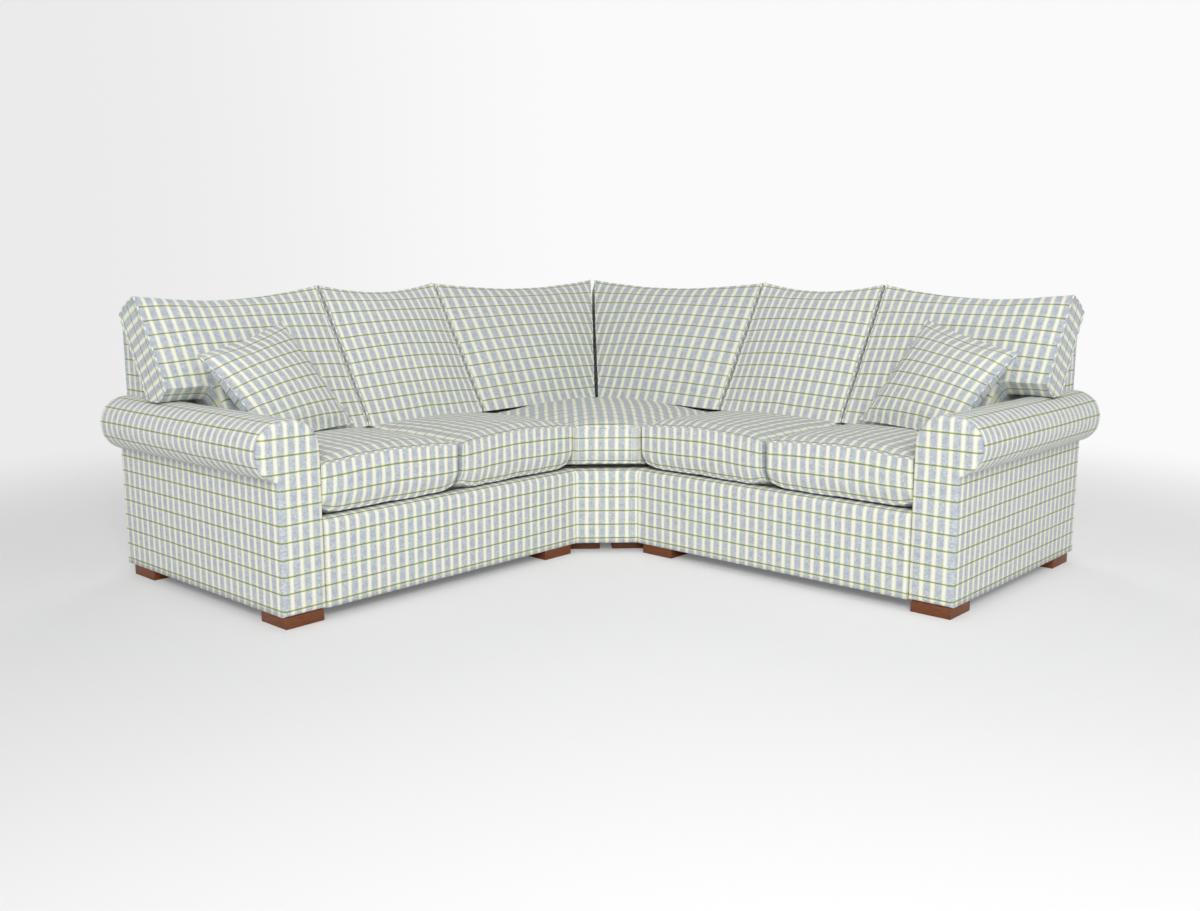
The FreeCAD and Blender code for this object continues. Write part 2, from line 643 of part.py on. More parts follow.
# Cushions: closed solids lofted through layers. Each layer is an outline whose sides are
# straight or drawn in towards its middle, and the layers past the seam make the crown.
# A drawn side is a chain of straight stretches, so that the walls stay flat.

CROWN_SHARES = (0.1, 0.36, 0.7)
STRETCHES = 6
BOX_STEEPNESS = 1
KNIFE_STEEPNESS = 0.8
edge_roll = solve("cushion_edge_roll")
edge_inset = solve("cushion_edge_inset")
seam_inset = solve("cushion_seam_inset")


def middle_of(points):
    return sum(points, Vector()) * (1 / len(points))


def drawn_outline(corners, draws):
    middle = middle_of(corners)
    points = []
    for index, (start, draw) in enumerate(zip(corners, draws)):
        end = corners[(index + 1) % len(corners)]
        along = (end - start).normalize()
        inward = middle - (start + end) * 0.5
        inward = (inward - along * inward.dot(along)).normalize()
        stretches = STRETCHES if draw else 1
        for step in range(stretches):
            share = step / stretches
            points.append(start + (end - start) * share + inward * (4 * draw * share * (1 - share)))
    return points


def inset(points, amount):
    # Moves every side of a convex outline inwards by the same amount
    count = len(points)
    normal = (points[1] - points[0]).cross(points[2] - points[1]).normalize()
    moved = []
    for index in range(count):
        before = (points[index] - points[index - 1]).normalize()
        after = (points[(index + 1) % count] - points[index]).normalize()
        bisector = (normal.cross(before) + normal.cross(after)).normalize()
        moved.append(points[index] + bisector * (amount / bisector.dot(normal.cross(after))))
    return moved


def crown_rise(share, steepness):
    return math.sin(share * math.pi / 2) ** steepness


def crown_ring(outline, middle, share, lift):
    return [middle + (point - middle) * (1 - share) + lift for point in outline]


def closed_wire(points):
    return Part.makePolygon(points + points[:1])


def plain_walls(face):
    # A wall of a loft becomes a true plane, or two of them where it is twisted
    corners = [vertex.Point for vertex in face.OuterWire.OrderedVertexes]
    if face.findPlane():
        return [Part.Face(closed_wire(corners))]
    return [Part.Face(closed_wire(corners[:3])), Part.Face(closed_wire(corners[2:] + corners[:1]))]


def loft_cushion(outlines):
    loft = Part.makeLoft([closed_wire(points) for points in outlines], True, True)
    skin = Part.Compound([wall for face in loft.Faces for wall in plain_walls(face)])
    skin.sewShape()
    return Part.Solid(skin.Shells[0])


def box_cushion(name, layer_points, draws, outward, thickness, crown):
    # layer_points(height) gives the outline's corners at a height above the cushion's flat side
    outlines = []
    for height, amount in (
        (0, edge_inset),
        (edge_roll, 0),
        (thickness - edge_roll, 0),
        (thickness, seam_inset),
    ):
        corners = inset(layer_points(height), amount)
        outlines.append(drawn_outline(corners, draws))
    seam = outlines[-1]
    middle = middle_of(corners)
    for share in CROWN_SHARES:
        lift = outward * (crown * crown_rise(share, BOX_STEEPNESS))
        outlines.append(crown_ring(seam, middle, share, lift))
    return finish_cushion(name, loft_cushion(outlines))


def finish_cushion(name, shape):
    cushion = doc.addObject("Part::Feature", name)
    cushion.Shape = shape
    cushion.Placement = Placement(Vector(-solve(HALF), solve(HALF), 0), Rotation())
    return cushion


clearance = solve("cushion_clearance")
side_gap = solve("cushion_gap") / 2
seat_base = solve("deck_top") + clearance
seat_rear = solve(SEAT_REAR) + clearance
wing_depth = solve("wing_depth")
corner_side = solve("corner_side")
seat_split = solve("seat_split")
arm_inner = solve(ARM_INNER)
seat_thickness = solve("seat_thickness")
seat_crown = solve("seat_crown")
front_setback = solve("seat_front_setback")
front_draw = solve("seat_front_draw")


def wing_seat_cushion(name, start, end):
    def layer(height):
        return [
            Vector(seat_rear, -start - side_gap, seat_base + height),
            Vector(seat_rear, -end + side_gap, seat_base + height),
            Vector(wing_depth - front_setback, -end + side_gap, seat_base + height),
            Vector(wing_depth - front_setback, -start - side_gap, seat_base + height),
        ]
    return box_cushion(name, layer, [0, 0, front_draw, 0], Vector(0, 0, 1),
                       seat_thickness, seat_crown)


nodes["left_seat_cushion_inner"] = wing_seat_cushion("left_seat_cushion_inner", corner_side, seat_split)
nodes["left_seat_cushion_outer"] = wing_seat_cushion("left_seat_cushion_outer", seat_split, arm_inner)


def corner_seat_layer(height):
    side = corner_side - side_gap
    front = wing_depth - front_setback
    level = seat_base + height
    return [
        Vector(seat_rear, -seat_rear, level),
        Vector(seat_rear, -side, level),
        Vector(front, -side, level),
        Vector(side, -front, level),
        Vector(side, -seat_rear, level),
    ]


nodes["corner_seat_cushion"] = box_cushion("corner_seat_cushion", corner_seat_layer,
                                           [0, 0, front_draw, 0, 0],
                                           Vector(0, 0, 1), seat_thickness, seat_crown)

# Back cushions lean on the inside back and stand on the rear of the seat cushions
lean = math.radians(solve("back_lean_angle"))
lean_out = Vector(math.cos(lean), 0, math.sin(lean))
lean_up = Vector(-math.sin(lean), 0, math.cos(lean))
back_base = seat_base + seat_thickness + solve("back_cushion_rise")
base_depth = solve(SEAT_REAR) - (back_base - solve(DECK_BASE)) * math.tan(lean) + clearance / math.cos(lean)
back_thickness = solve("back_cushion_thickness")
back_height = solve("back_cushion_height")
back_crown = solve("back_cushion_crown")
saddle = solve("saddle")
ear_drop = solve("ear_drop")


def back_point(along, out, up):
    start = Vector(base_depth, -along, back_base)
    return start + lean_out * out + lean_up * up


def back_cushion(name, start, end, end_drop, mitred=False):
    def layer(out):
        foot = -out * math.tan(lean)
        ends = []
        for up in (foot, back_height):
            point = back_point(0, out, up)
            ends.append(point.x + side_gap if mitred else start + side_gap)
        return [
            back_point(ends[0], out, foot),
            back_point(end - side_gap, out, foot),
            back_point(end - side_gap, out, back_height - end_drop),
            back_point(ends[1], out, back_height),
        ]
    return box_cushion(name, layer, [0, 0, saddle, 0], lean_out,
                       back_thickness, back_crown)


nodes["left_back_cushion_inner"] = back_cushion("left_back_cushion_inner", corner_side, seat_split, 0)
nodes["corner_back_cushion_left"] = back_cushion("corner_back_cushion_left", 0, corner_side, 0, True)
nodes["corner_back_cushion_right"] = mirror("corner_back_cushion_right", nodes["corner_back_cushion_left"])

# The outer back cushion reaches over the arm, so its lower outer corner is notched
arm_rest = solve("arm_height") + clearance
outer_end = solve("wing_length") + solve("back_cushion_overlap")
whole_cushion = back_cushion("left_whole_back_cushion", seat_split, outer_end + side_gap, ear_drop)
rest_middle = back_thickness / 2
rest_front = back_thickness + 2 * back_crown


def rest_height(out):
    return (arm_rest - back_base - out * math.sin(lean)) / math.cos(lean)


notch_outline = [
    (-back_thickness, rest_height(-back_thickness)),
    (rest_middle, rest_height(rest_middle)),
    (rest_front, rest_height(rest_middle) + rest_middle / 2),
    (rest_front, -back_thickness * 2),
    (-back_thickness, -back_thickness * 2),
]
notch_corners = [back_point(arm_inner - side_gap, out, up) for out, up in notch_outline]
notch = Part.Face(closed_wire(notch_corners))
notch_tool = finish_cushion("left_back_cushion_notch", notch.extrude(Vector(0, -wing_depth, 0)))
nodes["left_back_cushion_outer"] = cut("left_back_cushion_outer", whole_cushion, notch_tool)

# Scatter cushions: knife-edged squares that stand on the seat, lean back and lie over the arm
scatter_turn = Rotation(Vector(0, 0, 1), solve("scatter_yaw_angle"))
scatter_turn = scatter_turn.multiply(Rotation(Vector(0, 1, 0), -solve("scatter_lean_angle")))
scatter_turn = scatter_turn.multiply(Rotation(Vector(1, 0, 0), solve("scatter_roll_angle")))
scatter_face = scatter_turn.multVec(Vector(1, 0, 0))
scatter_out = scatter_turn.multVec(Vector(0, -1, 0))
scatter_down = scatter_turn.multVec(Vector(0, 0, -1))
scatter_size = solve("scatter_size")
scatter_peak = Vector(solve("scatter_depth"), -solve("scatter_along"), solve("scatter_top"))
scatter_corners = [
    scatter_peak,
    scatter_peak + scatter_out * scatter_size,
    scatter_peak + scatter_out * (scatter_size - solve("scatter_tuck"))
    + scatter_down * (scatter_size - solve("scatter_lift")),
    scatter_peak + scatter_down * scatter_size,
]
scatter_draw = solve("scatter_draw")

# The edge that stands on the seat is straight
scatter_draws = [scatter_draw, scatter_draw, 0, scatter_draw]
scatter_rim = drawn_outline(scatter_corners, scatter_draws)
scatter_middle = middle_of(scatter_corners)
scatter_outlines = []
for face, shares in ((-1, CROWN_SHARES[::-1]), (0, (0,)), (1, CROWN_SHARES)):
    for share in shares:
        lift = scatter_face * (face * solve("scatter_thickness") / 2 * crown_rise(share, KNIFE_STEEPNESS))
        scatter_outlines.append(crown_ring(scatter_rim, scatter_middle, share, lift))
nodes["left_scatter_cushion"] = finish_cushion("left_scatter_cushion", loft_cushion(scatter_outlines))

# The right wing mirrors the left one
for label in [label for label in nodes if label.startswith("left_")]:
    right = label.replace("left_", "right_", 1)
    nodes[right] = mirror(right, nodes[label])
nodes["foot_bolts"] = group("foot_bolts", [wing_bolts, mirror("right_wing_bolts", wing_bolts),
                                           corner_bolt_group])
nodes["unit_bolts"] = group("unit_bolts", [joint_bolts, mirror("right_joint_bolts", joint_bolts)])

doc.recompute()
for item in doc.Objects:
    if any(state in ("Invalid", "Error") for state in item.State):
        raise RuntimeError("%s did not compute: %s" % (item.Name, item.State))
for label, node in nodes.items():
    node.Label = label
    if node.Shape.isNull() or not node.Shape.isValid() or not node.Shape.Solids:
        raise RuntimeError("%s has no valid shape" % label)

os.makedirs("parts", exist_ok=True)
for label, node in nodes.items():
    node.Shape.exportStep(os.path.join("parts", label + ".step"))
print("%d sub-parts written" % len(nodes))
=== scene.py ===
import math

import bpy
from mathutils import Matrix, Vector, noise


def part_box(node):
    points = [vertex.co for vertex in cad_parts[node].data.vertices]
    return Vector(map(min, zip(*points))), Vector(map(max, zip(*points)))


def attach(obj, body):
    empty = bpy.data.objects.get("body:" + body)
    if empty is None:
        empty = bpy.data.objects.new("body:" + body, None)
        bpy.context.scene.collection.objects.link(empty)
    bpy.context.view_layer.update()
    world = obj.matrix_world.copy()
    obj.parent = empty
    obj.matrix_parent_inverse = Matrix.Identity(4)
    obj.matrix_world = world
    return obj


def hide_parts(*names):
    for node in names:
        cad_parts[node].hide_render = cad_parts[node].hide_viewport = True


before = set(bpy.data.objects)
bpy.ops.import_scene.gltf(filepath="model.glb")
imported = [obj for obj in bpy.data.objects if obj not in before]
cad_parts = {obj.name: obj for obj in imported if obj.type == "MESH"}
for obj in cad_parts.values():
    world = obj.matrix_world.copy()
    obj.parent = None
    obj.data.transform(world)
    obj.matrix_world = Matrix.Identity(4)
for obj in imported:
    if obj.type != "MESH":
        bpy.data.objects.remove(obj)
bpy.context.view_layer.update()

# Sizes of the sofa in millimetres, measured from its outer back corner.
# Depth runs forward from the back of the left wing and along runs to its free end.
HALF_SPAN = 1233.5
CORNER_SIDE = 1141.0
SEAT_SPLIT = 1695.5
ARM_INNER = 2250.0
ARM_TOP = 624.0
SEAT_REAR = 421.6
SEAT_FRONT = 976.0
SEAT_BASE = 314.6
SEAT_THICKNESS = 164.0
BACK_BASE = 487.6
BACK_DEPTH = 315.7
BACK_THICKNESS = 145.0
BACK_HEIGHT = 500.0
BACK_END = 2421
LEAN = math.radians(30)
COS, SIN = math.cos(LEAN), math.sin(LEAN)
DIAGONAL = math.sqrt(0.5)
# The back cushions stand on the seats up to this distance from the back
BACK_FOOT = 468
# Kept between a cushion and the end of its place
CLEARANCE = 0.6

# The plaid in metres. Bands are given by half their width and by how far their edge fades.
STRIPE_PITCH = 0.0375
STRIPE_HALF, STRIPE_FADE = 0.0050, 0.0050
CORE_HALF, CORE_FADE = 0.0022, 0.0030
LINE_PITCH = 0.052
LINE_HALF, LINE_FADE = 0.0017, 0.0013
CELL_HALF, CELL_FADE = 0.006, 0.015
THREAD_PITCH = 0.0011
# How far thick places in the yarn and slow drifts push the stripes aside
SLUB_SHIFT, DRIFT_SHIFT = 0.0038, 0.0030
# One stripe stands this far along the wing, and the pattern is counted from there
FIRST_STRIPE = 1.1902
STRIPE_START = FIRST_STRIPE - HALF_SPAN / 1000
# The stripes stand wider apart on the corner's back cushions
CORNER_SPREAD = 1.38
# Heights of a line on each kind of cover
LINE_START = 0.107
INSIDE_LINE_START = 0.02
SEAT_LINE_START = 0.016
BACK_LINE_START = 0.018

# The right wing is the left one mirrored across the diagonal
ACROSS_DIAGONAL = Matrix(((0, -1, 0, 0), (-1, 0, 0, 0), (0, 0, 1, 0), (0, 0, 0, 1)))


def spot(depth, along, height):
    return Vector((depth - HALF_SPAN, HALF_SPAN - along, height)) / 1000


def tint(red, green, blue):
    # A colour as a colour picker shows it, made linear for the shaders
    def linear(value):
        value /= 255
        return value / 12.92 if value <= 0.04045 else ((value + 0.055) / 1.055) ** 2.4
    return (linear(red), linear(green), linear(blue), 1.0)


def smooth_step(value):
    value = min(max(value, 0.0), 1.0)
    return value * value * (3 - 2 * value)


# Shader building

def node(tree, kind, inputs=None, **settings):
    made = tree.nodes.new(kind)
    for name, value in settings.items():
        setattr(made, name, value)
    for name, value in (inputs or {}).items():
        if isinstance(value, bpy.types.NodeSocket):
            tree.links.new(value, made.inputs[name])
        else:
            made.inputs[name].default_value = value
    return made


def calc(tree, operation, first, second=0.0):
    return node(tree, "ShaderNodeMath", {0: first, 1: second}, operation=operation).outputs[0]


def dot(tree, vector, direction):
    product = node(tree, "ShaderNodeVectorMath", {0: vector, 1: direction}, operation="DOT_PRODUCT")
    return product.outputs["Value"]


def remap(tree, value, low, high, new_low=0.0, new_high=1.0, shape="LINEAR"):
    return node(tree, "ShaderNodeMapRange", {0: value, 1: low, 2: high, 3: new_low, 4: new_high},
                interpolation_type=shape).outputs[0]


def speckle(tree, place, scale, detail, roughness=0.5):
    inputs = {"Vector": place, "Scale": scale, "Detail": detail, "Roughness": roughness}
    return node(tree, "ShaderNodeTexNoise", inputs).outputs[0]


def blend_colours(tree, factor, first, second):
    return node(tree, "ShaderNodeMix", {0: factor, 6: first, 7: second}, data_type="RGBA").outputs[2]


def new_material(name):
    material = bpy.data.materials.new(name)
    material.use_nodes = True
    return material, material.node_tree, material.node_tree.nodes["Principled BSDF"]


def new_group(name, inputs, outputs):
    tree = bpy.data.node_groups.new(name, "ShaderNodeTree")
    for label, kind, value in inputs:
        socket = tree.interface.new_socket(label, in_out="INPUT", socket_type=kind)
        if value is not None:
            socket.default_value = value
    for label, kind in outputs:
        tree.interface.new_socket(label, in_out="OUTPUT", socket_type=kind)
    return tree, tree.nodes.new("NodeGroupInput"), tree.nodes.new("NodeGroupOutput")


def band(tree, coordinate, pitch, start, half_width, fade):
    # 1 inside a band that repeats at the pitch, falling to 0 over the fade
    steps = calc(tree, "DIVIDE", calc(tree, "SUBTRACT", coordinate, start), pitch)
    near = calc(tree, "SUBTRACT", steps, calc(tree, "ROUND", steps))
    distance = calc(tree, "MULTIPLY", calc(tree, "ABSOLUTE", near), pitch)
    return remap(tree, distance, half_width, half_width + fade, 1.0, 0.0, "SMOOTHSTEP")


def make_plaid_weave():
    tree, given, out = new_group("plaid_weave", [
        ("Cloth", "NodeSocketVector", None),
        ("Stripe start", "NodeSocketFloat", 0.0),
        ("Line start", "NodeSocketFloat", 0.0),
    ], [("Color", "NodeSocketColor"), ("Height", "NodeSocketFloat"), ("Nap", "NodeSocketFloat")])
    cloth = given.outputs["Cloth"]
    stripe_start, line_start = given.outputs["Stripe start"], given.outputs["Line start"]
    # The threads don't run quite straight
    slub = calc(tree, "SUBTRACT", speckle(tree, cloth, 260.0, 2.0), 0.5)
    drift = calc(tree, "SUBTRACT", speckle(tree, cloth, 14.0, 1.0), 0.5)
    shift = calc(tree, "ADD", calc(tree, "MULTIPLY", slub, SLUB_SHIFT),
                 calc(tree, "MULTIPLY", drift, DRIFT_SHIFT))
    sides = node(tree, "ShaderNodeSeparateXYZ", {0: cloth})
    across = calc(tree, "ADD", sides.outputs[0], shift)
    upward = calc(tree, "ADD", sides.outputs[1], calc(tree, "MULTIPLY", shift, 0.3))
    glow = band(tree, across, STRIPE_PITCH, stripe_start, STRIPE_HALF, STRIPE_FADE)
    core = band(tree, across, STRIPE_PITCH, stripe_start, CORE_HALF, CORE_FADE)
    line = band(tree, upward, LINE_PITCH, line_start, LINE_HALF, LINE_FADE)
    cell_start = calc(tree, "ADD", line_start, LINE_PITCH / 2)
    between = band(tree, upward, LINE_PITCH, cell_start, CELL_HALF, CELL_FADE)
    # The ground is spun from pale, blue and grey fibres
    fine = speckle(tree, cloth, 420.0, 3.0, 0.7)
    fleck = remap(tree, fine, 0.32, 0.68)
    cloud = remap(tree, speckle(tree, cloth, 46.0, 3.0, 0.6), 0.36, 0.64)
    mottle = remap(tree, speckle(tree, cloth, 170.0, 2.0, 0.6), 0.40, 0.60)
    ground = blend_colours(tree, fleck, tint(166, 174, 180), tint(222, 226, 228))
    cool = blend_colours(tree, mottle, tint(168, 178, 190), tint(220, 225, 229))
    ground = blend_colours(tree, 0.65, ground, cool)
    # The cells between the lines are a little darker in the middle
    cell = calc(tree, "MULTIPLY", between, calc(tree, "SUBTRACT", 1.0, cloud))
    ground = blend_colours(tree, calc(tree, "MULTIPLY", cell, 0.62), ground, tint(162, 171, 184))
    # Some of the ground shows through the stripes
    cream = blend_colours(tree, core, tint(238, 236, 202), tint(248, 248, 238))
    cover = calc(tree, "ADD", 0.86, calc(tree, "MULTIPLY", fleck, 0.14))
    striped = blend_colours(tree, calc(tree, "MULTIPLY", glow, cover), ground, cream)
    olive = blend_colours(tree, glow, tint(136, 144, 50), tint(166, 170, 72))
    colour = blend_colours(tree, calc(tree, "MULTIPLY", line, 0.95), striped, olive)
    tree.links.new(colour, out.inputs["Color"])
    # Weft and warp threads
    turns = 2 * math.pi / THREAD_PITCH
    weft = calc(tree, "SINE", calc(tree, "MULTIPLY", sides.outputs[0], turns))
    warp = calc(tree, "SINE", calc(tree, "MULTIPLY", sides.outputs[1], turns))
    threads = calc(tree, "MULTIPLY", calc(tree, "MULTIPLY", weft, warp), 0.35)
    sunk_lines = calc(tree, "MULTIPLY", line, -0.3)
    relief = calc(tree, "ADD", threads, calc(tree, "ADD", fine, sunk_lines))
    tree.links.new(relief, out.inputs["Height"])
    tree.links.new(remap(tree, fine, 0.2, 0.8, 0.84, 0.98), out.inputs["Nap"])
    return tree


plaid_weave = make_plaid_weave()


def cloth_shader(name, cloth, stripe_start, line_start):
    # cloth(tree) gives the socket of the cloth's own coordinates, in metres
    material, tree, shader = new_material(name)
    inputs = {"Cloth": cloth(tree), "Stripe start": stripe_start, "Line start": line_start}
    weave = node(tree, "ShaderNodeGroup", inputs, node_tree=plaid_weave)
    relief = {"Height": weave.outputs["Height"], "Strength": 0.35, "Distance": 0.0006}
    bump = node(tree, "ShaderNodeBump", relief)
    tree.links.new(weave.outputs["Color"], shader.inputs["Base Color"])
    tree.links.new(weave.outputs["Nap"], shader.inputs["Roughness"])
    tree.links.new(bump.outputs[0], shader.inputs["Normal"])
    shader.inputs["Specular IOR Level"].default_value = 0.2
    shader.inputs["Sheen Weight"].default_value = 0.12
    shader.inputs["Sheen Roughness"].default_value = 0.6
    return material


def cut_cloth(name, stripe_start, line_start):
    # For pieces with their own cutting pattern, kept as a UV map in metres
    def cloth(tree):
        return node(tree, "ShaderNodeUVMap", uv_map="cut").outputs[0]
    return cloth_shader(name, cloth, stripe_start, line_start)


def upholstery(name, across, upward, forward, line_start):
    # For flat covers: the cloth runs along two directions of the sofa, and turns at their ends
    def cloth(tree):
        place = node(tree, "ShaderNodeTexCoord").outputs["Object"]
        normal = node(tree, "ShaderNodeNewGeometry").outputs["True Normal"]
        at_end = calc(tree, "GREATER_THAN", calc(tree, "ABSOLUTE", dot(tree, normal, across)), 0.7)
        on_face = {0: dot(tree, place, across), 1: dot(tree, place, upward)}
        on_end = {0: dot(tree, place, forward), 1: dot(tree, place, (0, 0, 1))}
        face = node(tree, "ShaderNodeCombineXYZ", on_face).outputs[0]
        end = node(tree, "ShaderNodeCombineXYZ", on_end).outputs[0]
        return node(tree, "ShaderNodeMix", {0: at_end, 4: face, 5: end}, data_type="VECTOR").outputs[1]
    return cloth_shader(name, cloth, STRIPE_START, line_start)


def plain_finish(name, dark, light, scale, roughness, stretch=(1, 1, 1), strength=0.2, metallic=0.0):
    # Plain cloths, timber and steel: one colour that varies over the surface
    material, tree, shader = new_material(name)
    place = node(tree, "ShaderNodeTexCoord").outputs["Object"]
    mapping = node(tree, "ShaderNodeMapping", {0: place, "Scale": stretch})
    grain = speckle(tree, mapping.outputs[0], scale, 4.0)
    colour = blend_colours(tree, remap(tree, grain, 0.35, 0.65), dark, light)
    rough = remap(tree, grain, 0.3, 0.7, roughness - 0.05, roughness + 0.05)
    bump = node(tree, "ShaderNodeBump", {"Height": grain, "Strength": strength, "Distance": 0.001})
    tree.links.new(colour, shader.inputs["Base Color"])
    tree.links.new(rough, shader.inputs["Roughness"])
    tree.links.new(bump.outputs[0], shader.inputs["Normal"])
    shader.inputs["Metallic"].default_value = metallic
    return material


# Finishes of the frame's own parts
def give(material, *names):
    for name in names:
        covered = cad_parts[name].data
        covered.materials.clear()
        covered.materials.append(material)


for side, toward_end, forward in (("left", (0, -1, 0), (1, 0, 0)), ("right", (1, 0, 0), (0, -1, 0))):
    up_the_back = (-SIN * forward[0], -SIN * forward[1], COS)
    inside = upholstery("plaid_inside_back_" + side, toward_end, up_the_back, forward, INSIDE_LINE_START)
    outside = upholstery("plaid_outside_back_" + side, toward_end, (0, 0, 1), forward, LINE_START)
    give(inside, side + "_back_cover", "corner_back_cover_" + side)
    give(outside, side + "_outside_back_cover", "corner_outside_back_" + side)
timber = plain_finish("softwood_frame", tint(196, 160, 112), tint(222, 192, 146), 30.0, 0.7, (1, 1, 6))
mahogany = plain_finish("mahogany_stain", tint(98, 50, 14), tint(120, 64, 22), 40.0, 0.5, (1, 1, 7), 0.1)
strapping = plain_finish("jute_webbing", tint(150, 122, 84), tint(186, 158, 116), 300.0, 0.9)
deck_cloth = plain_finish("deck_lining", tint(196, 190, 176), tint(216, 210, 198), 260.0, 0.9)
dust_cloth = plain_finish("black_dust_cloth", tint(38, 38, 40), tint(54, 54, 56), 260.0, 0.92)
bright_steel = plain_finish("zinc_plated_steel", tint(168, 170, 174), tint(196, 198, 200), 90.0, 0.35,
                            metallic=1.0, strength=0.05)
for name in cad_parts:
    if "_foot_" in name:
        give(mahogany, name)
    elif name.endswith(("seat_frame", "arm_frame", "back_frame")):
        give(timber, name)
    elif name.endswith("webbing"):
        give(strapping, name)
    elif name.endswith("deck"):
        give(deck_cloth, name)
    elif name.endswith("dust_cover"):
        give(dust_cloth, name)
    elif name.endswith("bolts"):
        give(bright_steel, name)


# Mesh building

def link(item):
    bpy.context.scene.collection.objects.link(item)
    return item


def pick(piece):
    bpy.ops.object.select_all(action="DESELECT")
    piece.select_set(True)
    bpy.context.view_layer.objects.active = piece


def new_piece(name, points, faces, places, flat_faces=0):
    # A mesh with its cutting pattern, smooth except for the last few faces
    mesh = bpy.data.meshes.new(name)
    mesh.from_pydata(points, [], faces)
    mesh.uv_layers.new(name="cut").data.foreach_set("uv", [value for place in places for value in place])
    smooth = [True] * (len(faces) - flat_faces) + [False] * flat_faces
    mesh.polygons.foreach_set("use_smooth", smooth)
    return link(bpy.data.objects.new(name, mesh))


# Shells: closed skins laid out on the sides of a block, with a cutting pattern in metres

def stops(length, edge, step):
    # Rows close together at both ends, where the skin turns, and evenly apart between
    inner = length - 2 * edge
    count = max(2, round(inner / step))
    rows = [0, 0.4 * edge] + [edge + inner * index / count for index in range(count + 1)]
    return rows + [length - 0.4 * edge, length]


def ease_edges(point, spans, radius, flat_corner):
    core = Vector([min(max(value, radius), span - radius) for value, span in zip(point, spans)])
    arm = point - core
    if flat_corner and arm.x > 0 and arm.y > 0:
        reach = math.hypot(max(arm.x, arm.y), arm.z)
        return core + arm * (radius / reach)
    return core + arm.normalized() * radius if arm.length > 0 else point


def shell(name, spans, radius, form, pattern, step=18.0, flat_corner=False):
    """A closed skin on the sides of a block of these spans, in millimetres. form places a point of the
    block on the sofa, and pattern(side, point) gives its place on the cut cloth. Returns the piece,
    its lattice, which finds a vertex by its row, column and layer, and the last of each of these."""
    rows = [stops(span, radius, step) for span in spans]
    last = [len(values) - 1 for values in rows]
    lattice, points, flat = {}, [], []
    for i, x in enumerate(rows[0]):
        for j, y in enumerate(rows[1]):
            for k, z in enumerate(rows[2]):
                if i in (0, last[0]) or j in (0, last[1]) or k in (0, last[2]):
                    lattice[i, j, k] = len(points)
                    eased = ease_edges(Vector((x, y, z)), spans, radius, flat_corner)
                    points.append(form(eased))
                    flat.append(Vector((x, y, z)))
    faces, places = [], []
    for axis in range(3):
        one, two = [other for other in range(3) if other != axis]
        for end in (0, last[axis]):
            side = "xyz"[axis] + ("0" if end == 0 else "1")
            for a in range(last[one]):
                for b in range(last[two]):
                    corners = []
                    for da, db in ((0, 0), (1, 0), (1, 1), (0, 1)):
                        key = [0, 0, 0]
                        key[axis], key[one], key[two] = end, a + da, b + db
                        corners.append(lattice[tuple(key)])
                    if (end == 0) == (axis != 1):
                        corners.reverse()
                    faces.append(corners)
                    places.extend(pattern(side, flat[index]) for index in corners)
    return new_piece(name, points, faces, places), lattice, last


def rim(lattice, last, axis, end):
    # The closed row of vertices round one side of a shell
    one, two = [other for other in range(3) if other != axis]
    walk = [(a, 0) for a in range(last[one])] + [(last[one], b) for b in range(last[two])]
    walk += [(a, last[two]) for a in range(last[one], 0, -1)] + [(0, b) for b in range(last[two], 0, -1)]
    found = []
    for a, b in walk:
        key = [0, 0, 0]
        key[axis], key[one], key[two] = end, a, b
        found.append(lattice[tuple(key)])
    return found


def dome(share, steepness=0.75):
    return max(0.0, math.sin(math.pi * min(max(share, 0.0), 1.0))) ** steepness


# Lengths of the small gathers and the broad swells, and how far the gathers reach from a seam
GATHER, SWELL, GATHER_REACH = 26, 90, 45


def pucker(point, seed, distance, size):
    # Small gathers beside a seam, which fade with the distance from it, and swells all over
    ripple = noise.noise(Vector((point.x / GATHER, point.y / GATHER, point.z / GATHER + seed)))
    swell = noise.noise(Vector((point.x / SWELL, point.y / SWELL, point.z / SWELL + seed + 7)))
    return size * ripple * math.exp(-distance / GATHER_REACH) + 1.6 * size * swell


cushions = []


def cushion(name, body, parts, seams, limits, material, seam_radius):
    # seams names the sides with piping round them, by their axis and whether they are the far one
    piece, lattice, last = parts
    loops = [rim(lattice, last, axis, last[axis] if far else 0) for axis, far in seams]
    piece.data.materials.append(material)
    cushions.append({"name": name, "body": body, "piece": piece, "loops": loops, "limits": limits,
                     "seam_radius": seam_radius})


# A limit is a point and an outward direction: the cushion stays on the inner side of that plane
def limit_before(start):
    return spot(0, start + CLEARANCE, 0), Vector((0, 1, 0))


def limit_after(end):
    return spot(0, end - CLEARANCE, 0), Vector((0, -1, 0))


rear_limit = (spot(SEAT_REAR, 0, 0), Vector((-1, 0, 0)))
base_limit = (spot(0, 0, SEAT_BASE), Vector((0, 0, -1)))

# How the filling shapes the seats, in millimetres: the crown on top and the arch of the front edge
SEAT_CROWN = 28
SEAT_ARCH = 16
CROWN_AHEAD_OF_BACKS = 32
FULLNESS = 0.65
SEAT_PUCKER = 1.6
# The front's lower edge rolls in over this length, by so much back and up
FRONT_ROLL = 24.0
ROLL_BACK, ROLL_UP = 15, 9
# The front's lower corners are rounded over these lengths, by so much back and up
CORNER_REACH, CORNER_WIDTH = 45, 40
CORNER_BACK, CORNER_UP = 7, 13
# The front is drawn in along its middle and swells between its seams
FRONT_DRAW, FRONT_SWELL = 6, 5
# The same roll on the corner seat, and how soon its crown rises ahead of the back cushions
STEP_ROLL_BACK, STEP_ROLL_UP = 12, 13
CROWN_RUN = 50
SEAT_SEAMS = ((2, True), (2, False))
SEAT_RADIUS = 8.0
SEAT_PIPING = 2.6


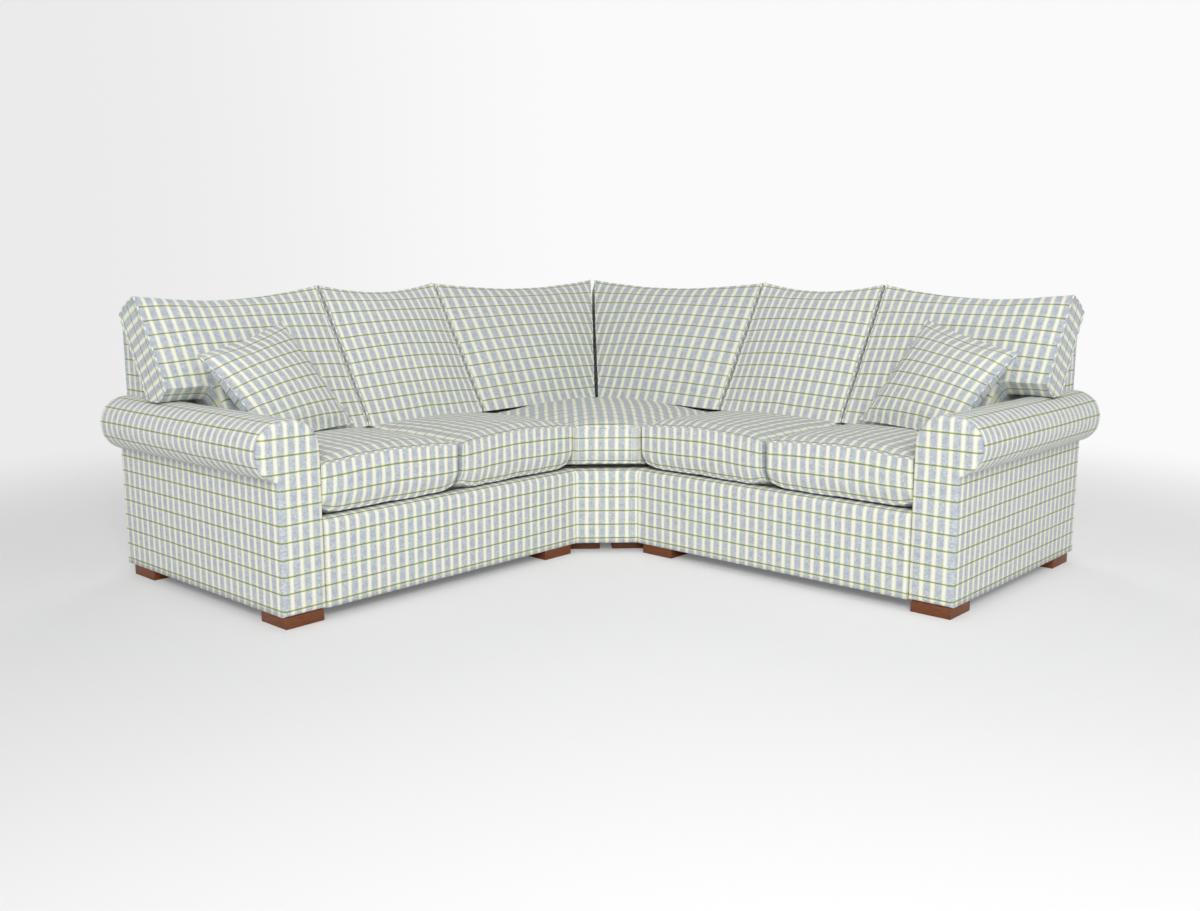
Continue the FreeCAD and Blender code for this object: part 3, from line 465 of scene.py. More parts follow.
# Seat cushions of the wings
def wing_seat(name, start, end, seed):
    spans = (end - start - 2, SEAT_FRONT - SEAT_REAR, SEAT_THICKNESS)

    def form(point):
        a, b, c = point.x / spans[0], point.y / spans[1], point.z / spans[2]
        edge = min(point.x, spans[0] - point.x, spans[1] - point.y, point.y)
        top = smooth_step((c - 0.7) / 0.3)
        lift = top * (SEAT_CROWN * dome(a, FULLNESS) * dome(b, FULLNESS)
                      + pucker(point, seed, edge, SEAT_PUCKER))
        lift += SEAT_ARCH * dome(a) * c * b ** 4
        to_front = spans[1] - point.y
        under = math.exp(-(to_front ** 2 + point.z ** 2) / (2 * FRONT_ROLL ** 2))
        side = min(point.x, spans[0] - point.x)
        corner = math.exp(-((to_front / CORNER_REACH) ** 2 + (point.z / CORNER_REACH) ** 2
                            + (side / CORNER_WIDTH) ** 2))
        draw = FRONT_DRAW * math.sin(math.pi * a) * b ** 10
        swell = FRONT_SWELL * dome(a) * dome(c) * b ** 10
        depth = SEAT_REAR + point.y - ROLL_BACK * under - draw + swell - CORNER_BACK * corner
        height = SEAT_BASE + point.z + lift + ROLL_UP * under + CORNER_UP * corner
        return spot(depth, start + 1 + point.x, height)

    def pattern(side, point):
        along = (start + 1 + point.x - HALF_SPAN) / 1000
        if side in ("x0", "x1"):
            return (point.y / 1000, point.z / 1000)
        if side == "z1":
            return (along, (spans[2] + spans[1] - point.y) / 1000)
        if side == "z0":
            return (along, (point.y - spans[1]) / 1000)
        return (along, point.z / 1000)

    parts = shell(name, spans, SEAT_RADIUS, form, pattern)
    limits = [limit_before(start), limit_after(end), rear_limit, base_limit]
    cushion(name, name, parts, SEAT_SEAMS, limits, seat_cloth, SEAT_PIPING)


seat_cloth = cut_cloth("plaid_seat_cushion", STRIPE_START, SEAT_LINE_START)
wing_seat("left_seat_cushion_inner", CORNER_SIDE, SEAT_SPLIT, 1.0)
wing_seat("left_seat_cushion_outer", SEAT_SPLIT, ARM_INNER, 5.0)


# Corner seat cushion: a square whose front corner is drawn back to a short straight front
def corner_seat(name, seed):
    side = CORNER_SIDE - 1
    span = side - SEAT_REAR
    spans = (span, span, SEAT_THICKNESS)
    half_front = (side - SEAT_FRONT) / 2 * math.sqrt(2)
    turn = (SEAT_FRONT - SEAT_REAR) / (SEAT_FRONT - SEAT_REAR + half_front)
    peak = (SEAT_FRONT + side) / 2

    def far_edge(share):
        if share <= turn:
            return side, SEAT_REAR + (SEAT_FRONT - SEAT_REAR) * share / turn
        rest = (share - turn) / (1 - turn)
        return side + (peak - side) * rest, SEAT_FRONT + (peak - SEAT_FRONT) * rest

    def plan(point):
        s, t = point.x / span, point.y / span
        right, left = far_edge(t), far_edge(s)[::-1]
        depth = (1 - t) * (SEAT_REAR + span * s) + t * left[0] + (1 - s) * SEAT_REAR + s * right[0]
        along = (1 - t) * SEAT_REAR + t * left[1] + (1 - s) * (SEAT_REAR + span * t) + s * right[1]
        depth -= (1 - s) * (1 - t) * SEAT_REAR + s * (1 - t) * side + (1 - s) * t * SEAT_REAR + s * t * peak
        along -= (1 - s) * (1 - t) * SEAT_REAR + s * (1 - t) * SEAT_REAR + (1 - s) * t * side + s * t * peak
        return depth, along

    def form(point):
        depth, along = plan(point)
        a, b, c = point.x / span, point.y / span, point.z / spans[2]
        edge = min(point.x, span - point.x, span - point.y, point.y)
        top = smooth_step((c - 0.7) / 0.3)
        ahead_of_backs = smooth_step((min(depth, along) - BACK_FOOT) / CROWN_RUN)
        crown = SEAT_CROWN + CROWN_AHEAD_OF_BACKS * ahead_of_backs
        lift = top * (crown * dome(a, FULLNESS) * dome(b, FULLNESS)
                      + pucker(point, seed, edge, SEAT_PUCKER))
        ahead = (SEAT_FRONT + side - depth - along) * DIAGONAL
        under = math.exp(-(ahead ** 2 + point.z ** 2) / (2 * FRONT_ROLL ** 2))
        height = SEAT_BASE + point.z + lift + STEP_ROLL_UP * under
        return spot(depth - STEP_ROLL_BACK * under, along - STEP_ROLL_BACK * under, height)

    def pattern(face, point):
        depth, along = plan(point)
        across = (depth - along) * DIAGONAL / 1000
        forward = (depth + along) * DIAGONAL / 1000
        front = (SEAT_FRONT + side) * DIAGONAL / 1000
        if face in ("z0", "z1"):
            sign = 1 if face == "z1" else -1
            return (across, (spans[2] / 1000 if sign > 0 else 0) + sign * (front - forward))
        if face in ("x1", "y1") and min(point.x, point.y) > turn * span:
            return (across, point.z / 1000)
        return ((depth + along) / 1000, point.z / 1000)

    parts = shell(name, spans, SEAT_RADIUS, form, pattern, flat_corner=True)
    limits = [(spot(0, side, 0), Vector((0, -1, 0))), (spot(side, 0, 0), Vector((1, 0, 0))),
              (spot(0, SEAT_REAR, 0), Vector((0, 1, 0))), rear_limit, base_limit]
    cushion(name, "sofa", parts, SEAT_SEAMS, limits, corner_seat_cloth, SEAT_PIPING)


corner_seat_cloth = cut_cloth("plaid_corner_seat_cushion", 0.0, SEAT_LINE_START)
corner_seat("corner_seat_cushion", 11.0)


# Back cushions lean on the inside back. Their cloth runs over the top, and their ends are piped.
# The crown, the saddle of the top edge between its ears, and the roll of its front, in millimetres
BACK_CROWN = 36
BACK_PUCKER = 2.0
SADDLE, EARS = 22, 6
WATERFALL = 22.0
WATERFALL_IN, WATERFALL_DOWN = 10, 6
# The top side bulges up and the foot sags
PLUMP, SAG = 9, 6
BACK_RADIUS = 2.5
BACK_PIPING = 3.0
# Where the underside goes over to the arm, over what length, and how it rises to the front
ARM_FOOT_START, ARM_FOOT_RUN = 2210, 50
ARM_FOOT_RISE = 0.26


def back_spot(along, out, up):
    return spot(BACK_DEPTH + COS * out - SIN * up, along, BACK_BASE + SIN * out + COS * up)


def plain_start(start):
    return lambda out, up: start + 1


def mitred_start(out, up):
    return BACK_DEPTH + COS * out - SIN * up + 1


def flat_foot(along, out):
    return -out * math.tan(LEAN)


def arm_foot(along, out):
    # Over the arm the underside follows the roll's top and rises to the front
    middle = BACK_THICKNESS / 2
    rest = (ARM_TOP + CLEARANCE - BACK_BASE - SIN * min(out, middle)) / COS
    rest += max(0, out - middle) * ARM_FOOT_RISE
    share = smooth_step((along - ARM_FOOT_START) / ARM_FOOT_RUN)
    return flat_foot(along, out) * (1 - share) + rest * share


def back_cushion(name, start, end, foot, ear_drop, seed, limits, spread=1):
    first = start(BACK_THICKNESS, 0)
    spans = (end - 1 - first, BACK_HEIGHT, BACK_THICKNESS)

    def flat_place(point):
        a, b = point.x / spans[0], point.y / spans[1]
        out = point.z
        low = foot(first + point.x, out)
        high = BACK_HEIGHT - ear_drop * a
        up = low + (high - low) * b
        begin = start(out, up)
        return begin + a * (end - 1 - begin), out, up

    def form(point):
        along, out, up = flat_place(point)
        a, b, c = point.x / spans[0], point.y / spans[1], point.z / spans[2]
        edge = min(point.x, spans[0] - point.x, point.y)
        face = smooth_step((c - 0.75) / 0.25)
        crown = BACK_CROWN * dome(a) * dome(0.04 + 0.96 * b, FULLNESS)
        crown += pucker(point, seed, edge, BACK_PUCKER)
        saddle = (SADDLE * dome(a, 1.2) - EARS) * b ** 6
        from_edge = (spans[1] - point.y) ** 2 + (spans[2] - point.z) ** 2
        waterfall = math.exp(-from_edge / (2 * WATERFALL ** 2))
        waterfall *= dome(a, 0.5)
        plump = PLUMP * dome(c) * b ** 12 - SAG * dome(a, 0.5) * (1 - b) ** 12
        out = out + face * crown - WATERFALL_IN * waterfall
        up = up - saddle - WATERFALL_DOWN * waterfall + plump
        return back_spot(along, out, up)

    def pattern(side, point):
        along, out, up = flat_place(point)
        across = (along - HALF_SPAN) / 1000 / spread
        if side in ("x0", "x1"):
            return (up / 1000, out / 1000)
        if side == "y1":
            return (across, (BACK_HEIGHT + spans[2] - point.z) / 1000)
        if side == "y0":
            return (across, (-spans[2] + point.z) / 1000)
        if side == "z0":
            return (across, (BACK_HEIGHT * 2 + spans[2] - up) / 1000)
        return (across, up / 1000)

    parts = shell(name, spans, BACK_RADIUS, form, pattern)
    cushion(name, name, parts, ((0, False), (0, True)), limits, back_cloth, BACK_PIPING)


back_cloth = cut_cloth("plaid_back_cushion", STRIPE_START, BACK_LINE_START)
back_plane = (back_spot(0, 0, 0), Vector((-COS, 0, -SIN)))
seat_plane = (spot(0, 0, BACK_BASE), Vector((0, 0, -1)))
mitre_plane = (Vector((0.0, -0.0007, 0)), Vector((DIAGONAL, DIAGONAL, 0)))

back_cushion("left_back_cushion_inner", plain_start(CORNER_SIDE), SEAT_SPLIT, flat_foot, 0, 21.0,
             [limit_before(CORNER_SIDE), limit_after(SEAT_SPLIT), back_plane, seat_plane])
back_cushion("corner_back_cushion_left", mitred_start, CORNER_SIDE, flat_foot, 0, 31.0,
             [limit_after(CORNER_SIDE), back_plane, seat_plane, mitre_plane], CORNER_SPREAD)
back_cushion("left_back_cushion_outer", plain_start(SEAT_SPLIT), BACK_END, arm_foot, 27, 41.0,
             [limit_before(SEAT_SPLIT), back_plane, seat_plane])


# Scatter cushions: knife-edged squares
def scatter(name, seed):
    turn = (Matrix.Rotation(math.radians(11.2), 3, "Z") @ Matrix.Rotation(math.radians(-31.5), 3, "Y")
            @ Matrix.Rotation(math.radians(14), 3, "X"))
    face, away, down = turn @ Vector((1, 0, 0)), turn @ Vector((0, -1, 0)), turn @ Vector((0, 0, -1))
    size, thickness, edge_thickness = 444.0, 124.0, 7.0
    # The sides are drawn in between the corners, the lower one less
    drawn = 2 * (14 / size)
    peak = spot(334, 1951, 878) * 1000
    # The lowest corner is pushed in where it stands on the seat
    lowest = peak + away * (size - 30) + down * (size - 86)
    corners = [peak, peak + away * size, lowest, peak + down * size]
    spans = (size, size, edge_thickness)

    def form(point):
        a, b, c = point.x / size, point.y / size, point.z / edge_thickness
        a += (0.5 - a) * drawn * math.sin(math.pi * b) * abs(2 * a - 1)
        b += (0.5 - b) * drawn * math.sin(math.pi * a) * (1 if b < 0.5 else 0.2) * abs(2 * b - 1)
        flat = corners[0].lerp(corners[1], a).lerp(corners[3].lerp(corners[2], a), b)
        edge = min(point.x, size - point.x, point.y, size - point.y)
        full = (thickness - edge_thickness) / 2 * (dome(a, 1.0) * dome(b, 1.0)) ** 0.62
        full += pucker(point, seed, edge, 1.8) * min(1, edge / 15)
        return (flat + face * ((c - 0.5) * (edge_thickness + 2 * full))) / 1000

    def pattern(side, point):
        return (point.x / 1000, point.y / 1000 + (point.z / 1000 if side[0] != "z" else 0))

    parts = shell(name, spans, 2.0, form, pattern, step=16.0)
    cushion(name, name, parts, ((2, True),), [], scatter_cloth, 2.4)


scatter_cloth = cut_cloth("plaid_scatter_cushion", 0.004, 0.03)
scatter("left_scatter_cushion", 51.0)


# Covers swept along a straight line: a closed outline whose rows draw in at both ends
covers = []


def sweep(name, outline, stations, position, material, replaced):
    """outline is a closed list of (sideways, height, cloth length) in millimetres, stations a list of
    (distance, inset), and position(sideways, height, distance) a point on the sofa."""
    count = len(outline)
    normals = []
    for index in range(count):
        before, after = outline[index - 1], outline[(index + 1) % count]
        run = Vector((after[0] - before[0], after[1] - before[1])).normalized()
        normals.append(Vector((run.y, -run.x)))
    points, faces, places = [], [], []
    for distance, drawn in stations:
        for (sideways, height, _), normal in zip(outline, normals):
            points.append(position(sideways - normal.x * drawn, height - normal.y * drawn, distance))
    closing = math.dist(outline[-1][:2], outline[0][:2])
    lengths = [entry[2] for entry in outline] + [outline[-1][2] + closing]
    for row in range(len(stations) - 1):
        for index in range(count):
            following = (index + 1) % count
            faces.append([row * count + index, row * count + following,
                          (row + 1) * count + following, (row + 1) * count + index])
            for station, step in ((row, index), (row, index + 1), (row + 1, index + 1), (row + 1, index)):
                places.append((stations[station][0] / 1000, lengths[step] / 1000))
    faces.append(list(range(count))[::-1])
    faces.append([(len(stations) - 1) * count + index for index in range(count)])
    for end in faces[-2:]:
        places += [(outline[index % count][0] / 1000, outline[index % count][1] / 1000) for index in end]
    add_cover(new_piece(name, points, faces, places, flat_faces=2), material, replaced)


def add_cover(piece, material, replaced):
    face_outwards(piece)
    piece.data.materials.append(material)
    covers.append((piece, replaced))


def face_outwards(piece):
    pick(piece)
    bpy.ops.object.mode_set(mode="EDIT")
    bpy.ops.mesh.select_all(action="SELECT")
    bpy.ops.mesh.normals_make_consistent(inside=False)
    bpy.ops.object.mode_set(mode="OBJECT")


def end_rows(start, end, step, turn):
    # Stations along a cover whose end edges are rounded by the turn
    quarter = [(turn * (1 - math.cos(angle)), turn * (1 - math.sin(angle)))
               for angle in (0, math.pi / 8, math.pi / 4, 3 * math.pi / 8, math.pi / 2)]
    straight = end - start - 2 * turn
    count = round(straight / step)
    middle = [(start + turn + straight * index / count, 0) for index in range(1, count)]
    return ([(start + ahead, drawn) for ahead, drawn in quarter] + middle
            + [(end - ahead, drawn) for ahead, drawn in reversed(quarter)])


FLOOR_GAP = 36.0
ROLL = 92.0
ROLL_HEIGHT = 532.0
ROLL_OUTER, ROLL_INNER = 2375.0, 2343.0
ARM_OUTER = 2400.0
ARM_FACE = 980.0
FACE_TURN = 13.0


def with_length(path):
    # Adds to each point of a path its place along the cloth, counted from the floor
    length, outline = FLOOR_GAP, []
    for index, place in enumerate(path):
        if index:
            length += math.dist(path[index - 1], place)
        outline.append((*place, length))
    return outline


def arm_outline():
    # From the foot of the outside, round the roll and down the inside
    steps, outer_steps = 16, 26
    neck = math.acos((ARM_OUTER - ROLL_OUTER) / ROLL)
    neck_height = ROLL_HEIGHT - ROLL * math.sin(neck)
    rise, fall = neck_height - FLOOR_GAP, ROLL_HEIGHT - FLOOR_GAP
    path = [(ARM_OUTER, FLOOR_GAP + rise * index / steps) for index in range(steps + 1)]
    for index in range(1, outer_steps + 1):
        angle = -neck + (neck + math.pi / 2) * index / outer_steps
        path.append((ROLL_OUTER + ROLL * math.cos(angle), ROLL_HEIGHT + ROLL * math.sin(angle)))
    for index in range(steps + 1):
        angle = math.pi / 2 + math.pi / 2 * index / steps
        path.append((ROLL_INNER + ROLL * math.cos(angle), ROLL_HEIGHT + ROLL * math.sin(angle)))
    path += [(ARM_INNER, ROLL_HEIGHT - fall * index / steps) for index in range(1, steps + 1)]
    return with_length(path)


def arm_place(along, height, depth):
    # The cloth lies a little unevenly over the roll
    soft = 1.4 * noise.noise(Vector((depth / 120, along / 90, height / 90 + 61)))
    lift = 1 if height > ROLL_HEIGHT - ROLL else 0
    return spot(depth, along + lift * soft, height + lift * soft)


arm_cloth = cut_cloth("plaid_arm", 0.012, LINE_START)
facing_cloth = cut_cloth("plaid_arm_facing", (2258 - HALF_SPAN) / 1000, LINE_START)
# The rows of the cover round its rear edge, then run evenly to the facing
ROLL_ROWS = 40
roll_start = 7
roll_run = ARM_FACE - FACE_TURN - roll_start
roll_rows = [(1, 5), (3, 1.5), (roll_start, 0)]
roll_rows += [(roll_start + roll_run * index / ROLL_ROWS, 0) for index in range(1, ROLL_ROWS + 1)]
sweep("arm_roll_cover_left", arm_outline(), roll_rows, arm_place, arm_cloth, "left_arm_cover")


def arm_span(height):
    # How far the arm reaches at a height, from its inner to its outer side
    rise = height - ROLL_HEIGHT
    bulge = math.sqrt(max(0.0, ROLL ** 2 - rise ** 2))
    inner = ROLL_INNER - bulge if rise > 0 else ARM_INNER
    outer = ARM_OUTER if ROLL_OUTER + bulge < ARM_OUTER or rise < -ROLL else ROLL_OUTER + bulge
    return inner, outer


def distance_to(here, first, second):
    # How far a point is from the straight stretch between two others
    run = second - first
    share = min(1, max(0, (here - first).dot(run) / run.length_squared))
    return (here - first - run * share).length


def arm_facing():
    """The padded front of the arm: a closed skin over the arm's outline, rounded at its edge."""
    border = [Vector(entry[:2]) for entry in arm_outline()]
    edge = [0, 0.6, 2, 4.5, 8, 13]
    top_edge = [32, 25, 19, 13, 8, 4.5, 2, 0.6, 0]
    rows, middle_columns = 40, 12
    heights = [FLOOR_GAP + step for step in edge]
    upright = ARM_TOP - top_edge[0] - FLOOR_GAP - edge[-1]
    heights += [FLOOR_GAP + edge[-1] + upright * index / rows for index in range(1, rows)]
    heights += [ARM_TOP - step for step in top_edge]
    flat = []
    for height in heights:
        inner, outer = arm_span(height)
        middle = outer - inner - 2 * edge[-1]
        flat += [(inner + step, height) for step in edge]
        flat += [(inner + edge[-1] + middle * index / middle_columns, height)
                 for index in range(1, middle_columns)]
        flat += [(outer - step, height) for step in reversed(edge)]
    columns = 2 * len(edge) + middle_columns - 1
    points = []
    for place in flat:
        here = Vector(place)
        gap = min(distance_to(here, *ends) for ends in zip(border, border[1:] + border[:1]))
        turned = FACE_TURN - min(gap, FACE_TURN)
        depth = ARM_FACE - FACE_TURN + math.sqrt(FACE_TURN ** 2 - turned ** 2)
        depth += 1.2 * noise.noise(Vector((place[0] / 80, place[1] / 80, 71))) if gap > FACE_TURN else 0
        points.append(spot(depth, *place))
    faces = []
    for row in range(len(heights) - 1):
        for column in range(columns - 1):
            corner = row * columns + column
            faces.append([corner, corner + 1, corner + columns + 1, corner + columns])
    last = (len(heights) - 1) * columns
    around = list(range(columns)) + [row * columns + columns - 1 for row in range(1, len(heights))]
    around += [last + column for column in range(columns - 2, -1, -1)]
    around += [row * columns for row in range(len(heights) - 2, 0, -1)]
    faces.append(around[::-1])
    places = [((flat[index][0] - HALF_SPAN) / 1000, flat[index][1] / 1000)
              for face in faces for index in face]
    piece = new_piece("arm_facing_left", points, faces, places, flat_faces=1)
    add_cover(piece, facing_cloth, "left_arm_front_facing")


arm_facing()


# Front covers: padded cloth that rolls over the top of the rail
COVER_TOP = 314.0


def rail_outline(face):
    # Up the face, round its top edge, back over the rail and down behind
    turn, rows, turn_rows = 22.0, 14, 8
    rise = COVER_TOP - turn - FLOOR_GAP
    path = [(face, FLOOR_GAP + rise * index / rows) for index in range(rows + 1)]
    for index in range(1, turn_rows + 1):
        angle = math.pi / 2 * index / turn_rows
        path.append((face - turn + turn * math.cos(angle), COVER_TOP - turn + turn * math.sin(angle)))
    rear, inner, under = face - 70, face - 12, COVER_TOP - 9.6
    path += [(rear, COVER_TOP), (rear, under), (inner, under), (inner, FLOOR_GAP)]
    return with_length(path)


def rail_place(depth, height, along):
    soft = noise.noise(Vector((along / 110, height / 80, 81)))
    return spot(depth + (soft if depth > ARM_FACE - 11 else 0), along, height)


rail_cloth = cut_cloth("plaid_front_rail", FIRST_STRIPE, LINE_START)
rail_rows = end_rows(CORNER_SIDE + 0.2, ARM_INNER - 0.1, 24, 2.5)
sweep("front_rail_cover_left", rail_outline(ARM_FACE), rail_rows, rail_place, rail_cloth,
      "left_front_rail_cover")

STEP_FACE = (ARM_FACE + CORNER_SIDE) * DIAGONAL
STEP_HALF = (CORNER_SIDE - ARM_FACE) * DIAGONAL


def step_place(forward, height, sideways):
    # The cover widens behind its face, because both wings meet it at a slant
    sideways *= (STEP_HALF + STEP_FACE - forward) / STEP_HALF
    return spot((forward - sideways) * DIAGONAL, (forward + sideways) * DIAGONAL, height)


step_cloth = cut_cloth("plaid_corner_front", 0.0, LINE_START)
step_rows = end_rows(0.2 - STEP_HALF, STEP_HALF - 0.2, 20, 2.5)
sweep("corner_front_cover_plaid", rail_outline(STEP_FACE), step_rows, step_place, step_cloth,
      "corner_front_cover")


# Feet: square blocks with their edges eased, in metres
FOOT_SIDE = 0.1348
FOOT_EDGE = 0.0022


def foot(name, replaced):
    low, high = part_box(replaced)
    corner = "corner_foot_front" in replaced
    bpy.ops.object.select_all(action="DESELECT")
    middle = (low + high) / 2
    bpy.ops.mesh.primitive_cube_add(size=1, location=middle)
    block = bpy.context.object
    block.name = name
    block.scale = (FOOT_SIDE, FOOT_SIDE, high.z - low.z)
    block.rotation_euler = (0, 0, math.radians(45) if corner else 0)
    bpy.ops.object.transform_apply(location=True, rotation=True, scale=True)
    eased = block.modifiers.new("eased", "BEVEL")
    eased.width = FOOT_EDGE
    eased.segments = 3
    bpy.ops.object.modifier_apply(modifier=eased.name)
    block.data.materials.append(mahogany)
    bpy.ops.object.shade_smooth_by_angle(angle=math.radians(40))
    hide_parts(replaced)
    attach(block, "sofa")


for replaced in sorted(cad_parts):
    if "_foot_" in replaced:
        foot("block_" + replaced, replaced)


# The filling presses the cushions' cloth outwards, by at most the cap in metres
FILL_CAP = 0.009
FILL_FRAMES = 20
CLOTH_STIFFNESS = 12.0


def fill_cushions():
    for item in cushions:
        filling = item["piece"].modifiers.new("filling", "CLOTH")
        filling.settings.use_pressure = True
        filling.settings.uniform_pressure_force = 4.0
        filling.settings.effector_weights.gravity = 0.0
        filling.settings.quality = 4
        filling.settings.tension_stiffness = CLOTH_STIFFNESS
        filling.settings.compression_stiffness = CLOTH_STIFFNESS
        filling.point_cache.frame_start = 1
        filling.point_cache.frame_end = FILL_FRAMES
    scene = bpy.context.scene
    for step in range(1, FILL_FRAMES + 1):
        scene.frame_set(step)
    graph = bpy.context.evaluated_depsgraph_get()
    for item in cushions:
        piece = item["piece"]
        filled = [vertex.co.copy() for vertex in piece.evaluated_get(graph).data.vertices]
        for vertex, pushed in zip(piece.data.vertices, filled):
            move = pushed - vertex.co
            vertex.co += move * (FILL_CAP / max(FILL_CAP, move.length))
    for item in cushions:
        item["piece"].modifiers.clear()
    scene.frame_set(1)


def keep_clear(piece, limits):
    # Moves what lies beyond a limit back onto it
    for vertex in piece.data.vertices:
        for place, outward in limits:
            beyond = (vertex.co - place).dot(outward)
            if beyond > 0:
                vertex.co -= outward * beyond


def subdivide_once(piece):
    pick(piece)
    finer = piece.modifiers.new("finer", "SUBSURF")
    finer.levels = finer.render_levels = 1
    bpy.ops.object.modifier_apply(modifier=finer.name)


# Piping: a thin roll of the cloth, cut across its stripes and sewn into the seam
def piping(name, piece, loops, radius):
    vertices, faces, places = [], [], []
    sides = 8
    side_width = radius * 0.8
    for loop in loops:
        centres = [piece.data.vertices[index].co + piece.data.vertices[index].normal * (radius * 0.35)
                   for index in loop]
        count = len(centres)
        length, first = 0.0, len(vertices)
        travelled = []
        for index, centre in enumerate(centres):
            before, after = centres[index - 1], centres[(index + 1) % count]
            ahead = (after - before).normalized()
            out = piece.data.vertices[loop[index]].normal
            out = (out - ahead * out.dot(ahead)).normalized()
            up = ahead.cross(out)
            travelled.append(length)
            length += (after - centre).length
            for side in range(sides):
                turn = 2 * math.pi * side / sides
                vertices.append(centre + (out * math.cos(turn) + up * math.sin(turn)) * radius)
        travelled.append(length)
        for index in range(count):
            following = (index + 1) % count
            for side in range(sides):
                next_side = (side + 1) % sides
                faces.append([first + index * sides + side, first + following * sides + side,
                              first + following * sides + next_side, first + index * sides + next_side])
                near, far = side * side_width, (side + 1) * side_width
                places += [(travelled[index], near), (travelled[index + 1], near),
                           (travelled[index + 1], far), (travelled[index], far)]
    made = new_piece(name, vertices, faces, places)
    made.data.flip_normals()
    made.data.materials.append(piping_cloth)
    return made


piping_cloth = cut_cloth("plaid_piping", 0.0, 0.035)


def mirrored(piece, name):
    copy = piece.copy()
    copy.data = piece.data.copy()
    copy.name = name
    copy.data.transform(ACROSS_DIAGONAL)
    copy.data.flip_normals()
    return link(copy)


def opposite(name):
    # The name of a left piece's mirror image, or None for a piece in the middle
    if name.startswith("left_"):
        return name.replace("left_", "right_", 1)
    return name.replace("_left", "_right") if name.endswith("_left") else None


fill_cushions()
for item in cushions:
    keep_clear(item["piece"], item["limits"])
    subdivide_once(item["piece"])
    trim = piping(item["name"] + "_piping", item["piece"], item["loops"], item["seam_radius"] / 1000)
    pairs = [(item["name"], item["body"], item["piece"], trim)]
    other = opposite(item["name"])
    if other:
        body = opposite(item["body"])
        twin = mirrored(item["piece"], "cushion_" + other)
        pairs.append((other, body, twin, mirrored(trim, other + "_piping")))
    item["piece"].name = "cushion_" + item["name"]
    for name, body, piece, edge in pairs:
        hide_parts(name)
        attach(piece, body)
        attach(edge, body)


for piece, replaced in covers:
    shown = [(piece, replaced)]
    if opposite(replaced):
        shown.append((mirrored(piece, piece.name.replace("left", "right")), opposite(replaced)))
    for cover, covered in shown:
        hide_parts(covered)
        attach(cover, "sofa")


# Floor, backdrop, light and camera
CAMERA_TURN = math.radians(132.18)
CAMERA_DIP = math.radians(90 - 9.63)
CAMERA_SIDE = (math.sin(CAMERA_TURN), -math.cos(CAMERA_TURN), 0)
CAMERA_PLACE = (2.6635, -2.9955, 1.090)
LENS = 34.87
AMBIENT = (0.46, 0.46, 0.47, 1)
FLOOR_GLOW = 1.35
# The share of its own glow in the floor that the camera sees
FLOOR_GLOW_SHARE = 0.12
SHADE = tint(235, 235, 235)
# Each lamp's name, place, target, size in metres and power in watts
LAMPS = (
    ("front_softbox", (4.6, -4.6, 3.8), (-0.4, 0.4, 0.6), 3.0, 308),
    ("right_softbox", (-0.4, -4.2, 1.8), (0, 0, 0.4), 2.4, 5),
    ("left_softbox", (4.2, 0.4, 1.8), (0, 0, 0.4), 2.4, 2),
    ("rear_softbox", (-4.4, 4.4, 2.2), (0, 0, 0.4), 3.0, 90),
)


def make_backdrop():
    # Pale paper for the camera, a little darker on its left, and an even light for the sofa
    world = bpy.data.worlds.new("studio")
    bpy.context.scene.world = world
    world.use_nodes = True
    tree = world.node_tree
    rays = node(tree, "ShaderNodeLightPath").outputs
    shiny = calc(tree, "MAXIMUM", rays["Is Glossy Ray"], rays["Is Transmission Ray"])
    seen = calc(tree, "MAXIMUM", rays["Is Camera Ray"], shiny)
    direction = node(tree, "ShaderNodeTexCoord").outputs["Generated"]
    wash = remap(tree, dot(tree, direction, CAMERA_SIDE), -0.42, 0.0, shape="SMOOTHSTEP")
    paper = blend_colours(tree, wash, SHADE, tint(250, 250, 250))
    background = tree.nodes["Background"]
    tree.links.new(blend_colours(tree, seen, AMBIENT, paper), background.inputs["Color"])
    background.inputs["Strength"].default_value = 1.0


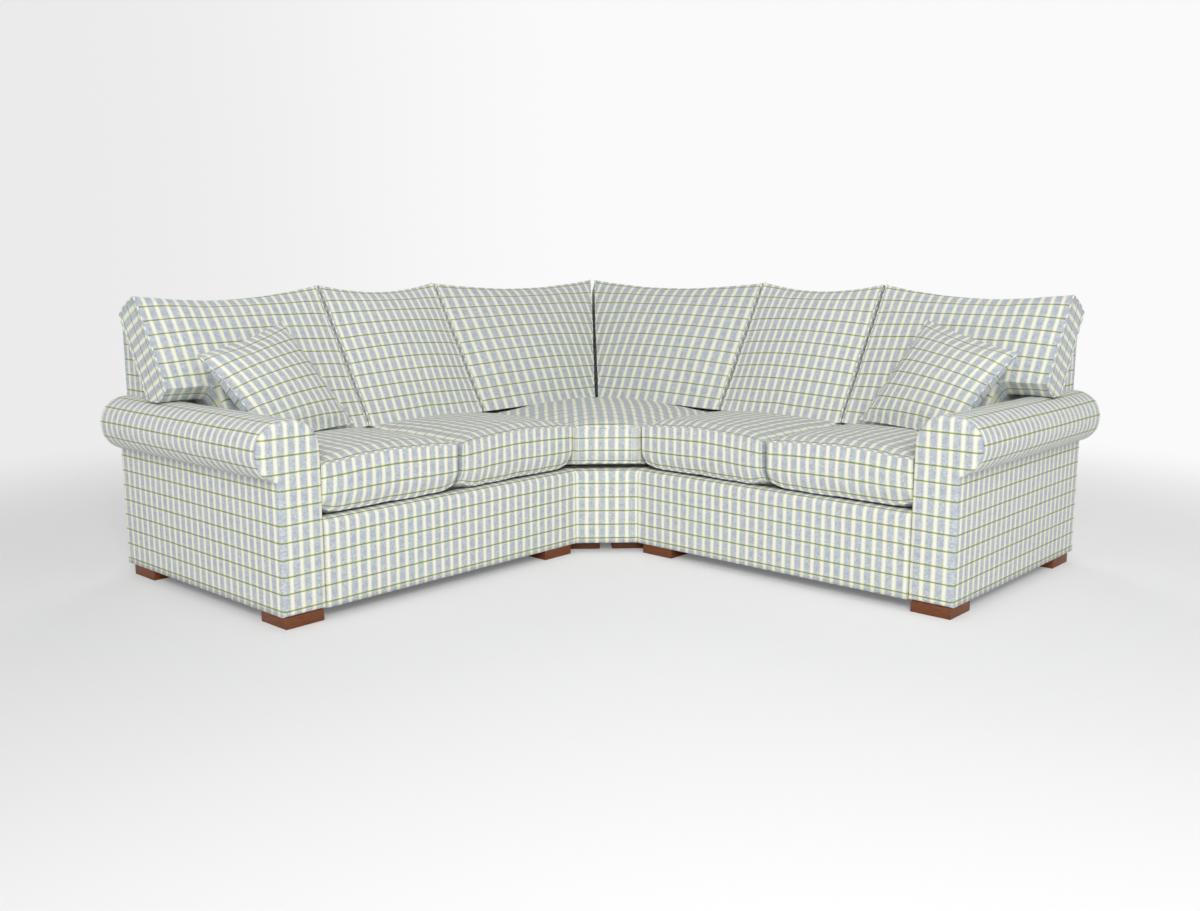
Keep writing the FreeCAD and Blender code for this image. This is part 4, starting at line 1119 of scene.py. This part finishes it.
def make_floor():
    # It takes the sofa's shadow, and fades into the backdrop away from the sofa
    bpy.ops.object.select_all(action="DESELECT")
    bpy.ops.mesh.primitive_plane_add(size=60, location=(0, 0, 0))
    floor = bpy.context.object
    floor.name = "floor"
    material, tree, shader = new_material("pale_floor")
    tree.nodes.remove(shader)
    place = node(tree, "ShaderNodeTexCoord").outputs["Object"]
    wash = remap(tree, dot(tree, place, CAMERA_SIDE), -1.9, 0.4, shape="SMOOTHSTEP")
    paper = blend_colours(tree, wash, SHADE, tint(247, 247, 247))
    reach = node(tree, "ShaderNodeVectorMath", {0: place}, operation="LENGTH").outputs["Value"]
    far = remap(tree, reach, 2.2, 4.2, shape="SMOOTHSTEP")
    lit = node(tree, "ShaderNodeBsdfDiffuse", {"Color": paper})
    glow = node(tree, "ShaderNodeEmission", {"Color": paper, "Strength": FLOOR_GLOW})
    seen = node(tree, "ShaderNodeLightPath").outputs["Is Camera Ray"]
    share = calc(tree, "MULTIPLY", seen, FLOOR_GLOW_SHARE)
    near = node(tree, "ShaderNodeMixShader", {0: share, 1: lit.outputs[0], 2: glow.outputs[0]})
    clear = node(tree, "ShaderNodeBsdfTransparent")
    gone = calc(tree, "MULTIPLY", far, seen)
    mixed = node(tree, "ShaderNodeMixShader", {0: gone, 1: near.outputs[0], 2: clear.outputs[0]})
    tree.links.new(mixed.outputs[0], tree.nodes["Material Output"].inputs["Surface"])
    floor.data.materials.append(material)


def lamp(name, place, target, size, power):
    light = bpy.data.lights.new(name, "AREA")
    light.shape = "SQUARE"
    light.size = size
    light.energy = power
    holder = link(bpy.data.objects.new(name, light))
    holder.location = place
    holder.rotation_euler = (Vector(target) - Vector(place)).to_track_quat("-Z", "Y").to_euler()


def make_camera():
    lens = bpy.data.cameras.new("camera")
    lens.sensor_width = 36
    lens.sensor_fit = "HORIZONTAL"
    lens.lens = LENS
    camera = link(bpy.data.objects.new("camera", lens))
    camera.location = CAMERA_PLACE
    camera.rotation_euler = (CAMERA_DIP, 0, CAMERA_TURN - math.pi / 2)
    bpy.context.scene.camera = camera


make_backdrop()
make_floor()
for settings in LAMPS:
    lamp(*settings)
make_camera()
bpy.context.scene.view_settings.view_transform = "Standard"
